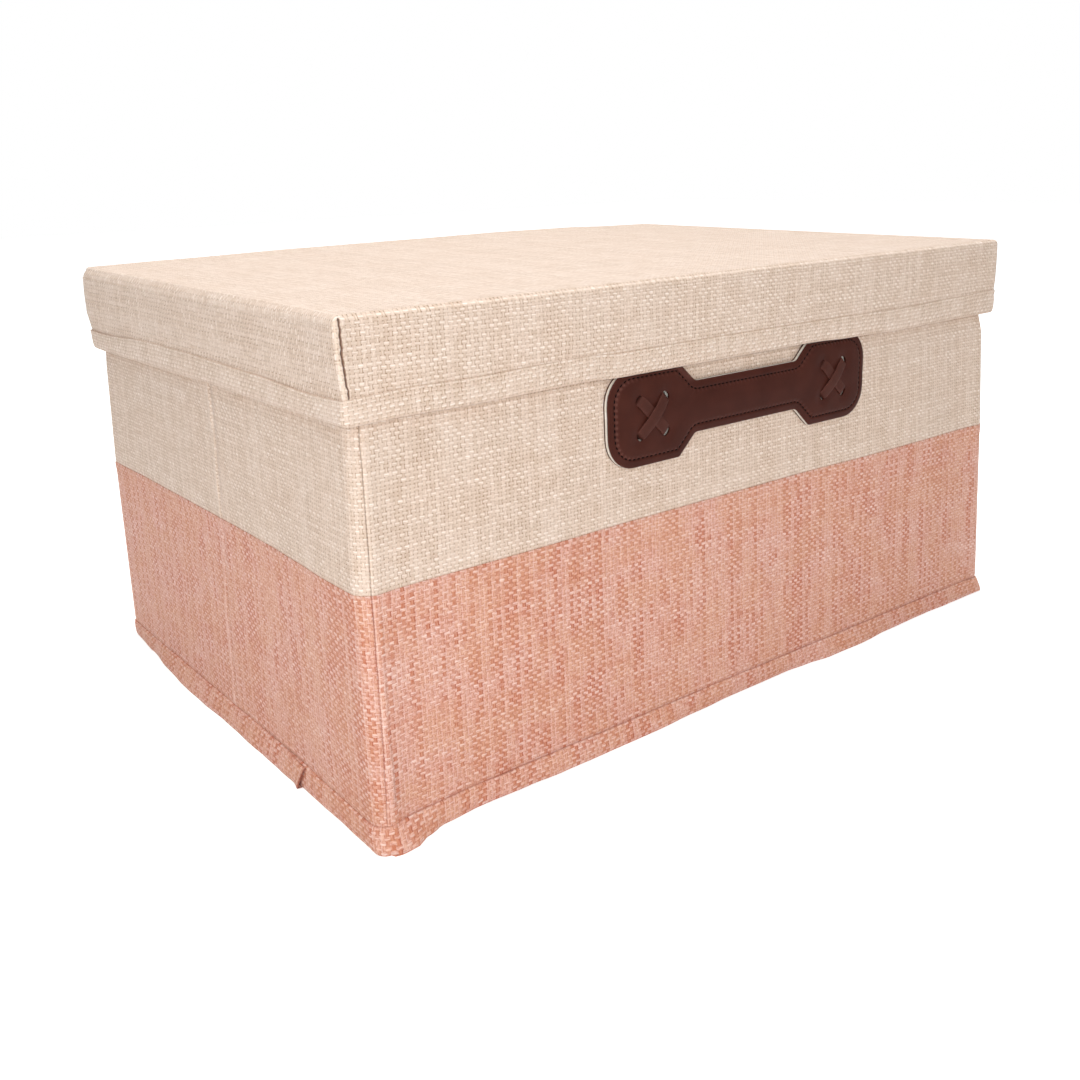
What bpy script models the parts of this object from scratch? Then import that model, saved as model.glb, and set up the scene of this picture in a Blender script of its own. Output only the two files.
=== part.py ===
# Fabric storage box with a lift-off lid, a loose base board and a strap handle laced to its front.
# Metres, +Z up, front towards -Y, origin on the floor under the middle of the box.

from math import atan, cos, pi, sin, sqrt, tan

import bmesh
import bpy
from mathutils import Matrix, Vector

# Whole box
lid_length = 0.500
lid_width = 0.347
overall_height = 0.2565
cream_height = 0.1268

# Fits
gap = 0.0003
lid_clearance = 0.0006
base_board_clearance = 0.0015
cut_overrun = 0.002

# Cloth and boards
cloth_thickness = 0.0008
binding_thickness = 0.0007
lining_thickness = 0.0004
wall_board_thickness = 0.0025

# Body
body_corner_radius = 0.009
corner_seam_from_edge = 0.010
rim_hem_depth = 0.015
lining_below_rim = 0.005
fold_line_gap = 0.0015
foot_height = 0.012
foot_splay = 0.004
wall_lean = 0.008

# Base board
base_board_thickness = 0.003
base_cover_thickness = 0.0006
base_cover_turn_under = 0.025
base_corner_radius = 0.003

# Lid
lid_rim_depth = 0.0473
lid_corner_radius = 0.005
lid_edge_radius = 0.0035
lid_binding_depth = 0.012
lid_top_board_thickness = 0.0025
lid_rim_board_thickness = 0.0016
lid_slit_width = 0.0012
lid_slit_from_edge = 0.003

# Handle
handle_length = 0.212
handle_middle_x = 0.006
handle_below_lid = 0.0005
pad_height = 0.0522
pad_flat_length = 0.0515
pad_outer_radius = 0.016
pad_shoulder_radius = 0.003
neck_run = 0.0125
neck_radius = 0.005
grip_height = 0.0285
front_leather_thickness = 0.001
core_thickness = 0.0016
back_leather_thickness = 0.0005

# Laces
lace_width = 0.0064
lace_thickness = 0.0008
lace_hole_spacing = 0.0198
lace_from_handle_end = 0.031
lace_tail_length = 0.007
lace_hole_clearance = 0.0004

# Counts
corner_steps = 6
edge_steps = 3
outline_steps = 8

# Levels
tone_seam_height = overall_height - cream_height
lid_bottom = overall_height - lid_rim_depth
lid_edges_low = lid_bottom + binding_thickness + gap
lid_board_top = overall_height - cloth_thickness - gap
lid_board_low = lid_board_top - lid_top_board_thickness
lid_lining_level = lid_board_low - gap - lining_thickness / 2
body_top = lid_lining_level - lining_thickness / 2 - gap
wall_board_top = body_top - cloth_thickness - gap
wall_board_low = foot_height + gap
lining_floor = foot_height + gap + lining_thickness / 2
foot_edges_low = binding_thickness + gap
base_low = lining_floor + lining_thickness / 2 + gap

# The walls lean out from the rim down to the foot
wall_slope = wall_lean / (body_top - foot_height)
wall_angle = atan(wall_slope)

# Depths into the body's wall, from the outer face of its cloth
wall_board_inset = cloth_thickness + gap + wall_board_thickness / 2
wall_board_inner = wall_board_inset + wall_board_thickness / 2
inner_layer = max(cloth_thickness, lace_thickness)
rim_hem_inset = wall_board_inner + gap + cloth_thickness / 2
lining_inset = wall_board_inner + gap + inner_layer + gap + lining_thickness / 2
inside_inset = lining_inset + lining_thickness / 2

# Depths into the lid's rim, from the outer face of its cloth
rim_board_outer = cloth_thickness + gap
rim_board_inner = rim_board_outer + lid_rim_board_thickness
lid_lining_inset = rim_board_inner + gap + lining_thickness / 2
lid_binding_inset = lid_lining_inset + lining_thickness / 2 + gap + binding_thickness / 2
body_inset = (
    lid_binding_inset + binding_thickness / 2 + lid_clearance + wall_slope * (body_top - lid_bottom)
)
binding_outer_inset = -(gap + binding_thickness / 2)

# Plans: length, width and corner radius, the body's at its rim
lid_plan = (lid_length, lid_width, lid_corner_radius)
body_length = lid_length - 2 * body_inset
body_width = lid_width - 2 * body_inset
body_plan = (body_length, body_width, body_corner_radius)
seam_x = body_length / 2 - corner_seam_from_edge
base_inset = inside_inset + base_board_clearance
base_plan = (body_length - 2 * base_inset, body_width - 2 * base_inset, base_corner_radius)

# Handle places
handle_middle_z = lid_bottom - handle_below_lid - pad_height / 2
handle_back_depth = gap + back_leather_thickness / 2
handle_core_depth = handle_back_depth + back_leather_thickness / 2 + gap + core_thickness / 2
handle_front_depth = handle_core_depth + core_thickness / 2 + gap + front_leather_thickness / 2
handle_face_depth = handle_front_depth + front_leather_thickness / 2
lace_x = handle_length / 2 - lace_from_handle_end
lace_hole_reach = lace_hole_spacing / sqrt(2)
lace_under_depth = handle_face_depth + gap + lace_thickness / 2
lace_over_depth = lace_under_depth + lace_thickness + gap
lace_tail_depth = -(wall_board_inner + gap + lace_thickness / 2)


def clear_scene():
    for old in list(bpy.data.objects):
        bpy.data.objects.remove(old, do_unlink=True)


def new_collection(name):
    collection = bpy.data.collections.new(name)
    bpy.context.scene.collection.children.link(collection)
    return collection


def new_material(name, colour, roughness, metallic=0.0):
    material = bpy.data.materials.new(name)
    material.use_nodes = True
    shader = material.node_tree.nodes["Principled BSDF"]
    shader.inputs["Base Color"].default_value = (*colour, 1.0)
    shader.inputs["Roughness"].default_value = roughness
    shader.inputs["Metallic"].default_value = metallic
    material.diffuse_color = (*colour, 1.0)
    return material


def place(name, data, material, parent=None, collection=None):
    data.materials.append(material)
    made = bpy.data.objects.new(name, data)
    (collection or box_collection).objects.link(made)
    made.parent = parent
    return made


def new_empty(name, location, collection):
    empty = bpy.data.objects.new(name, None)
    empty.location = location
    empty.empty_display_size = body_corner_radius
    collection.objects.link(empty)
    return empty


def corner_arc(plan, inset, sign_x, sign_y, z):
    """Points round one corner of a plan, from its front or back face to its side face."""
    length, width, radius = plan
    turn = max(radius - inset, gap)
    points = []
    for step in range(corner_steps + 1):
        angle = pi / 2 * step / corner_steps
        x = length / 2 - inset - turn * (1 - sin(angle))
        y = width / 2 - inset - turn * (1 - cos(angle))
        points.append(Vector((sign_x * x, sign_y * y, z)))
    return points


def whole_ring(plan, inset, z):
    """All the way round a plan, moved in by inset, or out where inset is negative."""
    return (
        corner_arc(plan, inset, 1, -1, z)
        + corner_arc(plan, inset, 1, 1, z)[::-1]
        + corner_arc(plan, inset, -1, 1, z)
        + corner_arc(plan, inset, -1, -1, z)[::-1]
    )


def wall_inset(inset, z):
    """A depth into the leaning wall at a level, as a depth in from the rim's plan."""
    return inset - wall_slope * (body_top - z) - foot_splay * max(0, 1 - z / foot_height)


def body_ring(inset, z):
    """All the way round the body's wall."""
    return whole_ring(body_plan, wall_inset(inset, z), z)


def side_ring(side, depth, z):
    """Round one short side of the body, from the seam on its front to the seam on its back."""
    inset = wall_inset(depth, z)
    y = body_width / 2 - inset
    x = side * (seam_x + gap / 2)
    return (
        [Vector((x, -y, z))]
        + corner_arc(body_plan, inset, side, -1, z)
        + corner_arc(body_plan, inset, side, 1, z)[::-1]
        + [Vector((x, y, z))]
    )


def face_ring(side, depth, z):
    """Along the front or the back of the body, between its two seams."""
    y = side * (body_width / 2 - wall_inset(depth, z))
    x = seam_x - gap / 2
    return [Vector((-x, y, z)), Vector((x, y, z))]


def sheet(name, rings, thickness, material, closed=True, capped=False, parent=None):
    """Cloth lofted from ring to ring along the middle of its thickness, which Solidify then gives it."""
    mesh = bmesh.new()
    rows = [[mesh.verts.new(point) for point in ring] for ring in rings]
    count = len(rings[0])
    spans = count if closed else count - 1
    for low, high in zip(rows, rows[1:]):
        for i in range(spans):
            after = (i + 1) % count
            mesh.faces.new((low[i], low[after], high[after], high[i]))
    if capped:
        mesh.faces.new(rows[-1])
    bmesh.ops.recalc_face_normals(mesh, faces=mesh.faces)
    data = bpy.data.meshes.new(name)
    mesh.to_mesh(data)
    mesh.free()
    made = place(name, data, material, parent)
    solidify = made.modifiers.new("thickness", "SOLIDIFY")
    solidify.thickness = thickness
    solidify.offset = 0.0
    solidify.use_even_offset = True
    return made


def board(name, low, high, material, parent=None, collection=None):
    """A flat board between two opposite corners."""
    low, high = Vector(low), Vector(high)
    mesh = bmesh.new()
    bmesh.ops.create_cube(mesh, size=1.0)
    bmesh.ops.scale(mesh, vec=high - low, verts=mesh.verts)
    data = bpy.data.meshes.new(name)
    mesh.to_mesh(data)
    mesh.free()
    made = place(name, data, material, parent, collection)
    made.location = (low + high) / 2
    return made


def cut(target, cutter):
    boolean = target.modifiers.new("cut", "BOOLEAN")
    boolean.operation = "DIFFERENCE"
    boolean.solver = "EXACT"
    boolean.object = cutter


def upper_rings(ring_at):
    """Up the outside from the tone seam, over the rim and down inside as a hem."""
    top = body_top - cloth_thickness / 2
    return [
        ring_at(cloth_thickness / 2, tone_seam_height + gap / 2),
        ring_at(cloth_thickness / 2, top),
        ring_at(rim_hem_inset, top),
        ring_at(rim_hem_inset, body_top - rim_hem_depth),
    ]


def lower_rings(ring_at):
    """Down the outside from the tone seam, then leaning out into the bottom binding."""
    levels = (tone_seam_height - gap / 2, foot_height, foot_edges_low)
    return [ring_at(cloth_thickness / 2, z) for z in levels]


def build_wall_cloth():
    for side, name in ((-1, "front"), (1, "back")):
        def ring_at(inset, z, side=side):
            return face_ring(side, inset, z)
        sheet(name + "_cloth_upper", upper_rings(ring_at), cloth_thickness, cream_cloth, closed=False)
        sheet(name + "_cloth_lower", lower_rings(ring_at), cloth_thickness, pink_cloth, closed=False)
    for side, name in ((-1, "left"), (1, "right")):
        def ring_at(inset, z, side=side):
            return side_ring(side, inset, z)
        sheet(name + "_cloth_upper", upper_rings(ring_at), cloth_thickness, cream_cloth, closed=False)
        sheet(name + "_cloth_lower", lower_rings(ring_at), cloth_thickness, pink_cloth, closed=False)


def build_wall_boards():
    """One board in each long wall, and two in each short wall with the fold line between them."""
    levels = (wall_board_low, wall_board_top)
    end_x = body_length / 2 - body_corner_radius
    for side, name in ((-1, "front"), (1, "back")):
        rings = []
        for z in levels:
            y = side * (body_width / 2 - wall_inset(wall_board_inset, z))
            rings.append([Vector((-end_x, y, z)), Vector((end_x, y, z))])
        sheet(name + "_board", rings, wall_board_thickness, grey_board, closed=False)
    end_y = body_width / 2 - body_corner_radius
    fold_y = fold_line_gap / 2
    for side, name in ((-1, "left"), (1, "right")):
        for low_y, high_y, half in ((-end_y, -fold_y, "front"), (fold_y, end_y, "rear")):
            rings = []
            for z in levels:
                x = side * (body_length / 2 - wall_inset(wall_board_inset, z))
                rings.append([Vector((x, low_y, z)), Vector((x, high_y, z))])
            sheet(name + "_board_" + half, rings, wall_board_thickness, grey_board, closed=False)


def build_lining_and_foot():
    lining_rings = [
        body_ring(lining_inset, body_top - lining_below_rim),
        body_ring(lining_inset, lining_floor),
    ]
    sheet("lining", lining_rings, lining_thickness, lining_cloth, capped=True)

    bottom_edge_inset = cloth_thickness + gap + cloth_thickness / 2
    bottom_level = foot_height - cloth_thickness / 2
    bottom_rings = [body_ring(bottom_edge_inset, z) for z in (foot_edges_low, bottom_level)]
    sheet("bottom_cloth", bottom_rings, cloth_thickness, pink_cloth, capped=True)

    inner_inset = bottom_edge_inset + cloth_thickness / 2 + gap + binding_thickness / 2
    fold_level = binding_thickness / 2
    inner_top = bottom_level - cloth_thickness / 2 - gap
    binding_path = (
        (binding_outer_inset, foot_height),
        (binding_outer_inset, fold_level),
        (inner_inset, fold_level),
        (inner_inset, inner_top),
    )
    binding_rings = [body_ring(inset, z) for inset, z in binding_path]
    sheet("bottom_binding", binding_rings, binding_thickness, pink_cloth)


def rounded_outline(corners):
    """Points along a closed outline whose corners, given as x, y and radius, are rounded by arcs."""
    points = []
    for i, (x, y, radius) in enumerate(corners):
        corner = Vector((x, y))
        back = (Vector(corners[i - 1][:2]) - corner).normalized()
        ahead = (Vector(corners[(i + 1) % len(corners)][:2]) - corner).normalized()
        half_angle = back.angle(ahead) / 2
        reach = radius / tan(half_angle)
        middle = corner + (back + ahead).normalized() * radius / sin(half_angle)
        start = corner + back * reach - middle
        swing = start.angle_signed(corner + ahead * reach - middle)
        for step in range(outline_steps + 1):
            points.append(middle + Matrix.Rotation(-swing * step / outline_steps, 2) @ start)
    return points


def handle_outline():
    """Two pads with round outer corners, joined by necks to a narrower grip."""
    quarter = (
        (handle_length / 2 - pad_flat_length - neck_run, grip_height / 2, neck_radius),
        (handle_length / 2 - pad_flat_length, pad_height / 2, pad_shoulder_radius),
        (handle_length / 2, pad_height / 2, pad_outer_radius),
    )
    corners = [(x, y, r) for x, y, r in quarter]
    corners += [(x, -y, r) for x, y, r in reversed(quarter)]
    corners += [(-x, -y, r) for x, y, r in quarter]
    corners += [(-x, y, r) for x, y, r in reversed(quarter)]
    return rounded_outline(corners)


def lace_holes():
    """Middle, direction of the lace and side of the pad for each of the eight holes."""
    for pad in (-1, 1):
        for lean in (-1, 1):
            along = Vector((1, lean)).normalized()
            for end in (-1, 1):
                yield Vector((pad * lace_x, 0)) + end * lace_hole_reach * along, along


def hole_corners(middle, along):
    across = Vector((-along.y, along.x))
    half_width = lace_width / 2 + lace_hole_clearance
    half_depth = lace_thickness / 2 + lace_hole_clearance
    signs = ((-1, -1), (1, -1), (1, 1), (-1, 1))
    return [middle + along * half_depth * a + across * half_width * b for a, b in signs]


def flat_layer(name, thickness, depth, material, parent):
    """One layer of the handle, cut to its outline and pierced for the laces."""
    data = bpy.data.curves.new(name, "CURVE")
    data.dimensions = "2D"
    data.fill_mode = "BOTH"
    data.extrude = thickness / 2
    outlines = [handle_outline()] + [hole_corners(*hole) for hole in lace_holes()]
    for points in outlines:
        spline = data.splines.new("POLY")
        spline.points.add(len(points) - 1)
        for spot, point in zip(spline.points, points):
            spot.co = (point.x, point.y, 0, 1)
        spline.use_cyclic_u = True
    made = place(name, data, material, parent)
    made.location = (0, -depth, 0)
    made.rotation_euler = (pi / 2, 0, 0)
    return made


def lace(name, pad, lean, crossing_depth, material, parent):
    """A flat lace over one pad, through two holes, with its tails turned in behind the board."""
    along = Vector((1, 0, lean)).normalized()
    across = Vector((-lean, 0, 1)).normalized()
    middle = Vector((pad * lace_x, 0, 0))
    crossing = lace_width / 2 + lace_thickness
    half = (
        (lace_hole_reach - lace_tail_length, lace_tail_depth),
        (lace_hole_reach, lace_tail_depth),
        (lace_hole_reach, lace_under_depth),
        (crossing, crossing_depth),
    )
    path = [(-reach, depth) for reach, depth in half] + [(reach, depth) for reach, depth in reversed(half)]
    rings = []
    for reach, depth in path:
        spot = middle + along * reach - Vector((0, depth, 0))
        rings.append([spot - across * lace_width / 2, spot + across * lace_width / 2])
    return sheet(name, rings, lace_thickness, material, closed=False, parent=parent)


def build_handle():
    front_y = -body_width / 2 + wall_inset(0, handle_middle_z)
    mount = new_empty("handle_place", (handle_middle_x, front_y, handle_middle_z), box_collection)
    mount.rotation_euler = (-wall_angle, 0, 0)
    flat_layer("handle_back_leather", back_leather_thickness, handle_back_depth, brown_leather, mount)
    flat_layer("handle_core", core_thickness, handle_core_depth, pale_core, mount)
    flat_layer("handle_front_leather", front_leather_thickness, handle_front_depth, brown_leather, mount)
    for pad, name in ((-1, "left"), (1, "right")):
        lace("lace_" + name + "_under", pad, -1, lace_under_depth, lace_leather, mount)
        lace("lace_" + name + "_over", pad, 1, lace_over_depth, lace_leather, mount)

    # The laces also pass through the cloth and the board behind the handle.
    near = -cut_overrun
    far = wall_board_inner + gap
    mesh = bmesh.new()
    for middle, along in lace_holes():
        corners = hole_corners(middle, along)
        front = [mesh.verts.new((spot.x, near, spot.y)) for spot in corners]
        face = mesh.faces.new(front)
        pushed = bmesh.ops.extrude_face_region(mesh, geom=[face])["geom"]
        ends = [part for part in pushed if isinstance(part, bmesh.types.BMVert)]
        bmesh.ops.translate(mesh, vec=(0, far - near, 0), verts=ends)
    bmesh.ops.recalc_face_normals(mesh, faces=mesh.faces)
    data = bpy.data.meshes.new("lace_hole_cutter")
    mesh.to_mesh(data)
    mesh.free()
    cutter = place("lace_hole_cutter", data, grey_board, mount, cutter_collection)
    cutter.hide_render = True
    cutter.display_type = "WIRE"
    cut(bpy.data.objects["front_cloth_upper"], cutter)
    cut(bpy.data.objects["front_board"], cutter)


def build_base_board():
    lift = new_empty("base_board_lift", (0, 0, 0), box_collection)
    turned_level = base_low + base_cover_thickness / 2
    board_low = base_low + base_cover_thickness + gap
    board_top = board_low + base_board_thickness
    top_level = board_top + gap + base_cover_thickness / 2
    edge_inset = base_cover_thickness / 2
    rings = [
        whole_ring(base_plan, base_cover_turn_under, turned_level),
        whole_ring(base_plan, edge_inset, turned_level),
        whole_ring(base_plan, edge_inset, top_level),
    ]
    sheet("base_board_cover", rings, base_cover_thickness, lining_cloth, capped=True, parent=lift)
    outline = whole_ring(base_plan, base_cover_thickness + gap, (board_low + board_top) / 2)
    sheet("base_board", [outline], base_board_thickness, grey_board, capped=True, parent=lift)


def lid_cloth_rings():
    """Up the rim, round the top edge and onto the top."""
    middle_radius = lid_edge_radius - cloth_thickness / 2
    rings = [whole_ring(lid_plan, cloth_thickness / 2, lid_edges_low)]
    for step in range(edge_steps + 1):
        angle = pi / 2 * step / edge_steps
        inset = lid_edge_radius - middle_radius * cos(angle)
        z = overall_height - lid_edge_radius + middle_radius * sin(angle)
        rings.append(whole_ring(lid_plan, inset, z))
    return rings


def build_lid():
    lift = new_empty("lid_lift", (0, 0, 0), box_collection)
    cover = sheet("lid_cloth", lid_cloth_rings(), cloth_thickness, cream_cloth, capped=True, parent=lift)

    binding_path = (
        (binding_outer_inset, lid_bottom + lid_binding_depth),
        (binding_outer_inset, lid_bottom + binding_thickness / 2),
        (lid_binding_inset, lid_bottom + binding_thickness / 2),
        (lid_binding_inset, lid_bottom + lid_binding_depth),
    )
    binding_rings = [whole_ring(lid_plan, inset, z) for inset, z in binding_path]
    sheet("lid_binding", binding_rings, binding_thickness, cream_cloth, parent=lift)

    lining_rings = [whole_ring(lid_plan, lid_lining_inset, z) for z in (lid_edges_low, lid_lining_level)]
    sheet("lid_lining", lining_rings, lining_thickness, lining_cloth, capped=True, parent=lift)

    outline = whole_ring(lid_plan, lid_edge_radius, (lid_board_low + lid_board_top) / 2)
    sheet("lid_top_board", [outline], lid_top_board_thickness, grey_board, capped=True, parent=lift)

    rim_top = overall_height - lid_edge_radius
    end_x = lid_length / 2 - lid_corner_radius
    end_y = lid_width / 2 - lid_corner_radius
    faces = (rim_board_inner, rim_board_outer)
    for side, name in ((-1, "front"), (1, "back")):
        low_y, high_y = sorted(side * (lid_width / 2 - inset) for inset in faces)
        low = (-end_x, low_y, lid_edges_low)
        high = (end_x, high_y, rim_top)
        board("lid_rim_board_" + name, low, high, grey_board, lift)
    for side, name in ((-1, "left"), (1, "right")):
        low_x, high_x = sorted(side * (lid_length / 2 - inset) for inset in faces)
        low = (low_x, -end_y, lid_edges_low)
        high = (high_x, end_y, rim_top)
        board("lid_rim_board_" + name, low, high, grey_board, lift)

    # The cover is open at its front left corner, from the binding up to the top edge.
    x = -lid_length / 2 + lid_slit_from_edge
    y = -lid_width / 2
    low = (x - lid_slit_width / 2, y - cut_overrun, lid_bottom + lid_binding_depth + gap)
    high = (x + lid_slit_width / 2, y + lid_corner_radius, rim_top)
    slit = board("lid_slit_cutter", low, high, grey_board, lift, cutter_collection)
    slit.hide_render = True
    slit.display_type = "WIRE"
    cut(cover, slit)


clear_scene()
box_collection = new_collection("fabric_storage_box")
cutter_collection = new_collection("cutters")
cream_cloth = new_material("cream_cloth", (0.70, 0.58, 0.47), 0.9)
pink_cloth = new_material("pink_cloth", (0.58, 0.26, 0.19), 0.9)
lining_cloth = new_material("lining_cloth", (0.62, 0.55, 0.46), 0.85)
grey_board = new_material("grey_board", (0.28, 0.26, 0.23), 0.9)
brown_leather = new_material("brown_leather", (0.065, 0.018, 0.014), 0.45)
lace_leather = new_material("lace_leather", (0.075, 0.024, 0.020), 0.5)
pale_core = new_material("pale_core", (0.72, 0.68, 0.58), 0.8)

build_wall_cloth()
build_wall_boards()
build_lining_and_foot()
build_handle()
build_base_board()
build_lid()
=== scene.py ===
from math import acos, asin, copysign, cos, pi, radians, sin, sqrt, tan

import bmesh
import bpy
from mathutils import Matrix, Vector, noise
from mathutils.geometry import delaunay_2d_cdt


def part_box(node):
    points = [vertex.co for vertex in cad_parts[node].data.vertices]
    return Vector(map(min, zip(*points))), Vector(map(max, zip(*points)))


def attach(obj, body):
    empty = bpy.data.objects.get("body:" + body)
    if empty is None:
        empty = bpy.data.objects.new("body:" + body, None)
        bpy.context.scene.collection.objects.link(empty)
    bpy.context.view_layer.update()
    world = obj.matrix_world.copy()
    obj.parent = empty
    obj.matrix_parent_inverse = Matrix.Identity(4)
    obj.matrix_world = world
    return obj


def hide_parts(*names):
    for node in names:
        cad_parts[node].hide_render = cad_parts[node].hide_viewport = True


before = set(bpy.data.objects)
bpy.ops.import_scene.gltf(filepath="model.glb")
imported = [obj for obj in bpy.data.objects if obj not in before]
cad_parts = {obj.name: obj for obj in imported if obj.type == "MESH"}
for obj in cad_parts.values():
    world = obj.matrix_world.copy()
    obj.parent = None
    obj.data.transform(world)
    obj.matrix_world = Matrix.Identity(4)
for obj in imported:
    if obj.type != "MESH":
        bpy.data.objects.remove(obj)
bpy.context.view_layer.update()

mm = 0.001
print("frame loaded:", len(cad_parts), "nodes")


# Camera, floor and light
shot = {
    "place": (-0.4715, -0.5969, 0.315),
    "azimuth": -37.4918,
    "elevation": 18.7378,
    "roll": -1.69857,
    "lens": 37.156,
    "sensor": 36.0,
}
studio = {
    "floorSize": 12.0,
    "floorWhite": 0.93,
    "floorGlow": (0.5, 1.6, 0.55, 1.0),     # from radius, to radius, near and far strength, for the camera only
    "skyStrength": 0.28,
    "aim": (0.0, 0.0, 0.12),
    "softboxes": {   # place, width and power
        "near softbox": ((-0.8, -0.9, 0.5), 0.6, 5.0),
        "front softbox": ((0.2, -1.6, 1.0), 1.0, 3.5),
        "left softbox": ((-1.6, -0.1, 0.8), 0.9, 1.8),
        "upper softbox": ((-0.3, -0.2, 1.4), 1.0, 7.5),
        "rear softbox": ((0.35, 0.55, 1.5), 1.3, 15.0),
    },
}


# Tools for one node tree; a value that isn't a socket is set on the input itself.
class Nodes:

    def __init__(self, tree):
        self.tree = tree

    def connect(self, value, socket):
        if isinstance(value, bpy.types.NodeSocket):
            self.tree.links.new(value, socket)
        else:
            socket.default_value = value

    def add(self, kind, settings=None, **inputs):
        node = self.tree.nodes.new("ShaderNode" + kind)
        for key, value in (settings or {}).items():
            setattr(node, key, value)
        for key, value in inputs.items():
            self.connect(value, node.inputs[key.replace("_", " ")])
        return node

    def calc(self, operation, *values, clamp=False):
        node = self.add("Math", {"operation": operation, "use_clamp": clamp})
        for value, socket in zip(values, node.inputs):
            self.connect(value, socket)
        return node.outputs[0]

    def times(self, first, *others):
        for other in others:
            first = self.calc("MULTIPLY", first, other)
        return first

    def less(self, value):
        return self.calc("SUBTRACT", 1.0, value)

    def spread(self, value, gain, middle=0.5):      # draws a mask's values apart
        return self.calc("MULTIPLY_ADD", self.calc("SUBTRACT", value, 0.5), gain, middle, clamp=True)

    def pair(self, x, y):
        return self.add("CombineXYZ", X=x, Y=y).outputs[0]

    def steady(self, x, y):     # one random value for each whole x and y
        return self.add("TexWhiteNoise", {"noise_dimensions": "2D"}, Vector=self.pair(x, y)).outputs["Value"]

    def grain(self, spot, scale, detail, dimensions="2D", **more):
        node = self.add("TexNoise", {"noise_dimensions": dimensions}, Vector=spot, Scale=scale, Detail=detail,
                        **more)
        return node.outputs["Fac"]

    def ease(self, value, low, high, start=0.0, stop=1.0):
        node = self.add("MapRange", {"interpolation_type": "SMOOTHSTEP"}, Value=value, From_Min=low,
                        From_Max=high, To_Min=start, To_Max=stop)
        return node.outputs["Result"]

    def mix(self, share, first, second):
        node = self.add("Mix", {"data_type": "RGBA"})
        for value, place in ((share, 0), (first, 6), (second, 7)):
            self.connect(value, node.inputs[place])
        return node.outputs[2]

    def look(self, settings):
        shader = self.tree.nodes["Principled BSDF"]
        for label, value in settings.items():
            self.connect(value, shader.inputs[label])

    def dress(self, colour, roughness, shine, height, strength, depth):
        bump = self.add("Bump", Height=height, Strength=strength, Distance=depth)
        self.look({"Base Color": colour, "Roughness": roughness, "Specular IOR Level": shine,
                   "Normal": bump.outputs["Normal"]})


def newMaterial(name):
    material = bpy.data.materials.new(name)
    material.use_nodes = True
    return material, Nodes(material.node_tree)


def newObject(name, mesh):
    data = bpy.data.meshes.new(name)
    mesh.to_mesh(data)
    mesh.free()
    made = bpy.data.objects.new(name, data)
    bpy.context.scene.collection.objects.link(made)
    return made


def makeCamera():
    data = bpy.data.cameras.new("camera")
    data.lens = shot["lens"]
    data.sensor_width = shot["sensor"]
    camera = bpy.data.objects.new("camera", data)
    bpy.context.scene.collection.objects.link(camera)
    azimuth, elevation, roll = (radians(shot[key]) for key in ("azimuth", "elevation", "roll"))
    ahead = Vector((-sin(azimuth) * cos(elevation), cos(azimuth) * cos(elevation), -sin(elevation)))
    level = ahead.cross(Vector((0, 0, 1))).normalized()
    upright = level.cross(ahead)
    right = level * cos(roll) + upright * sin(roll)
    up = upright * cos(roll) - level * sin(roll)
    turn = Matrix((right, up, -ahead)).transposed().to_4x4()
    camera.matrix_world = Matrix.Translation(shot["place"]) @ turn
    bpy.context.scene.camera = camera


def makeStudio():
    scene = bpy.context.scene
    scene.view_settings.view_transform = "Standard"
    scene.world = bpy.data.worlds.new("white studio")
    scene.world.use_nodes = True
    n = Nodes(scene.world.node_tree)
    sky = n.tree.nodes["Background"].inputs
    seen = n.add("LightPath").outputs["Is Camera Ray"]      # the backdrop is pure white, its light softer
    glow = n.add("MapRange", Value=seen, To_Min=studio["skyStrength"], To_Max=1.0)
    n.connect((1, 1, 1, 1), sky["Color"])
    n.connect(glow.outputs["Result"], sky["Strength"])

    mesh = bmesh.new()
    bmesh.ops.create_grid(mesh, x_segments=1, y_segments=1, size=studio["floorSize"] / 2)
    floorPiece = newObject("studio_floor", mesh)
    paint, n = newMaterial("studio floor")
    near, far, low, high = studio["floorGlow"]
    away = n.add("VectorMath", {"operation": "LENGTH"}, Vector=n.add("TexCoord").outputs["Object"])
    rise = n.add("MapRange", Value=away.outputs["Value"], From_Min=near, From_Max=far, To_Min=low, To_Max=high)
    glow = n.times(n.add("LightPath").outputs["Is Camera Ray"], rise.outputs["Result"])
    n.look({"Base Color": (*[studio["floorWhite"]] * 3, 1), "Roughness": 0.9, "Specular IOR Level": 0.0,
            "Emission Color": (1, 1, 1, 1), "Emission Strength": glow})
    floorPiece.data.materials.append(paint)

    for name, (spot, width, power) in studio["softboxes"].items():
        lamp = bpy.data.lights.new(name, "AREA")
        lamp.energy = power
        lamp.size = width
        light = bpy.data.objects.new(name, lamp)
        light.location = spot
        light.rotation_euler = (Vector(spot) - Vector(studio["aim"])).to_track_quat("Z", "Y").to_euler()
        scene.collection.objects.link(light)


makeCamera()
makeStudio()
print("camera and studio ready")


# Screen colour from 0 to 255 as a linear one.
def rgb(red, green, blue):
    return tuple(((c / 255 + 0.055) / 1.055) ** 2.4 for c in (red, green, blue)) + (1.0,)


weaveValues = {
    "wobbleScale": 95,      # how often a yarn strays, per metre
    "toneScale": 42,        # how long a light or dark stretch of yarn is, per metre
    "strandScale": (1700, 380),
    "yarnSpread": 17.3,     # keeps neighbouring yarns' noise apart
    "thinYarn": 0.42,
    "thickYarn": 0.56,
    "low": 0.12,            # how deep a yarn dips under its neighbour
    "slant": 0.03,          # the twist tips each weft stitch down to the right
    "crown_highlight": (0.09, 0.18),  # middle and half width of the painted highlight on a weft stitch, in yarns
    "post_highlight": (0.05, 0.22),   # the same on a warp stitch
    "ply": (-0.30, 0.12),   # the same for the light strand beside a warp yarn
    "shade": (0.30, 0.14),  # and for the painted shade on its other side
}


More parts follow.
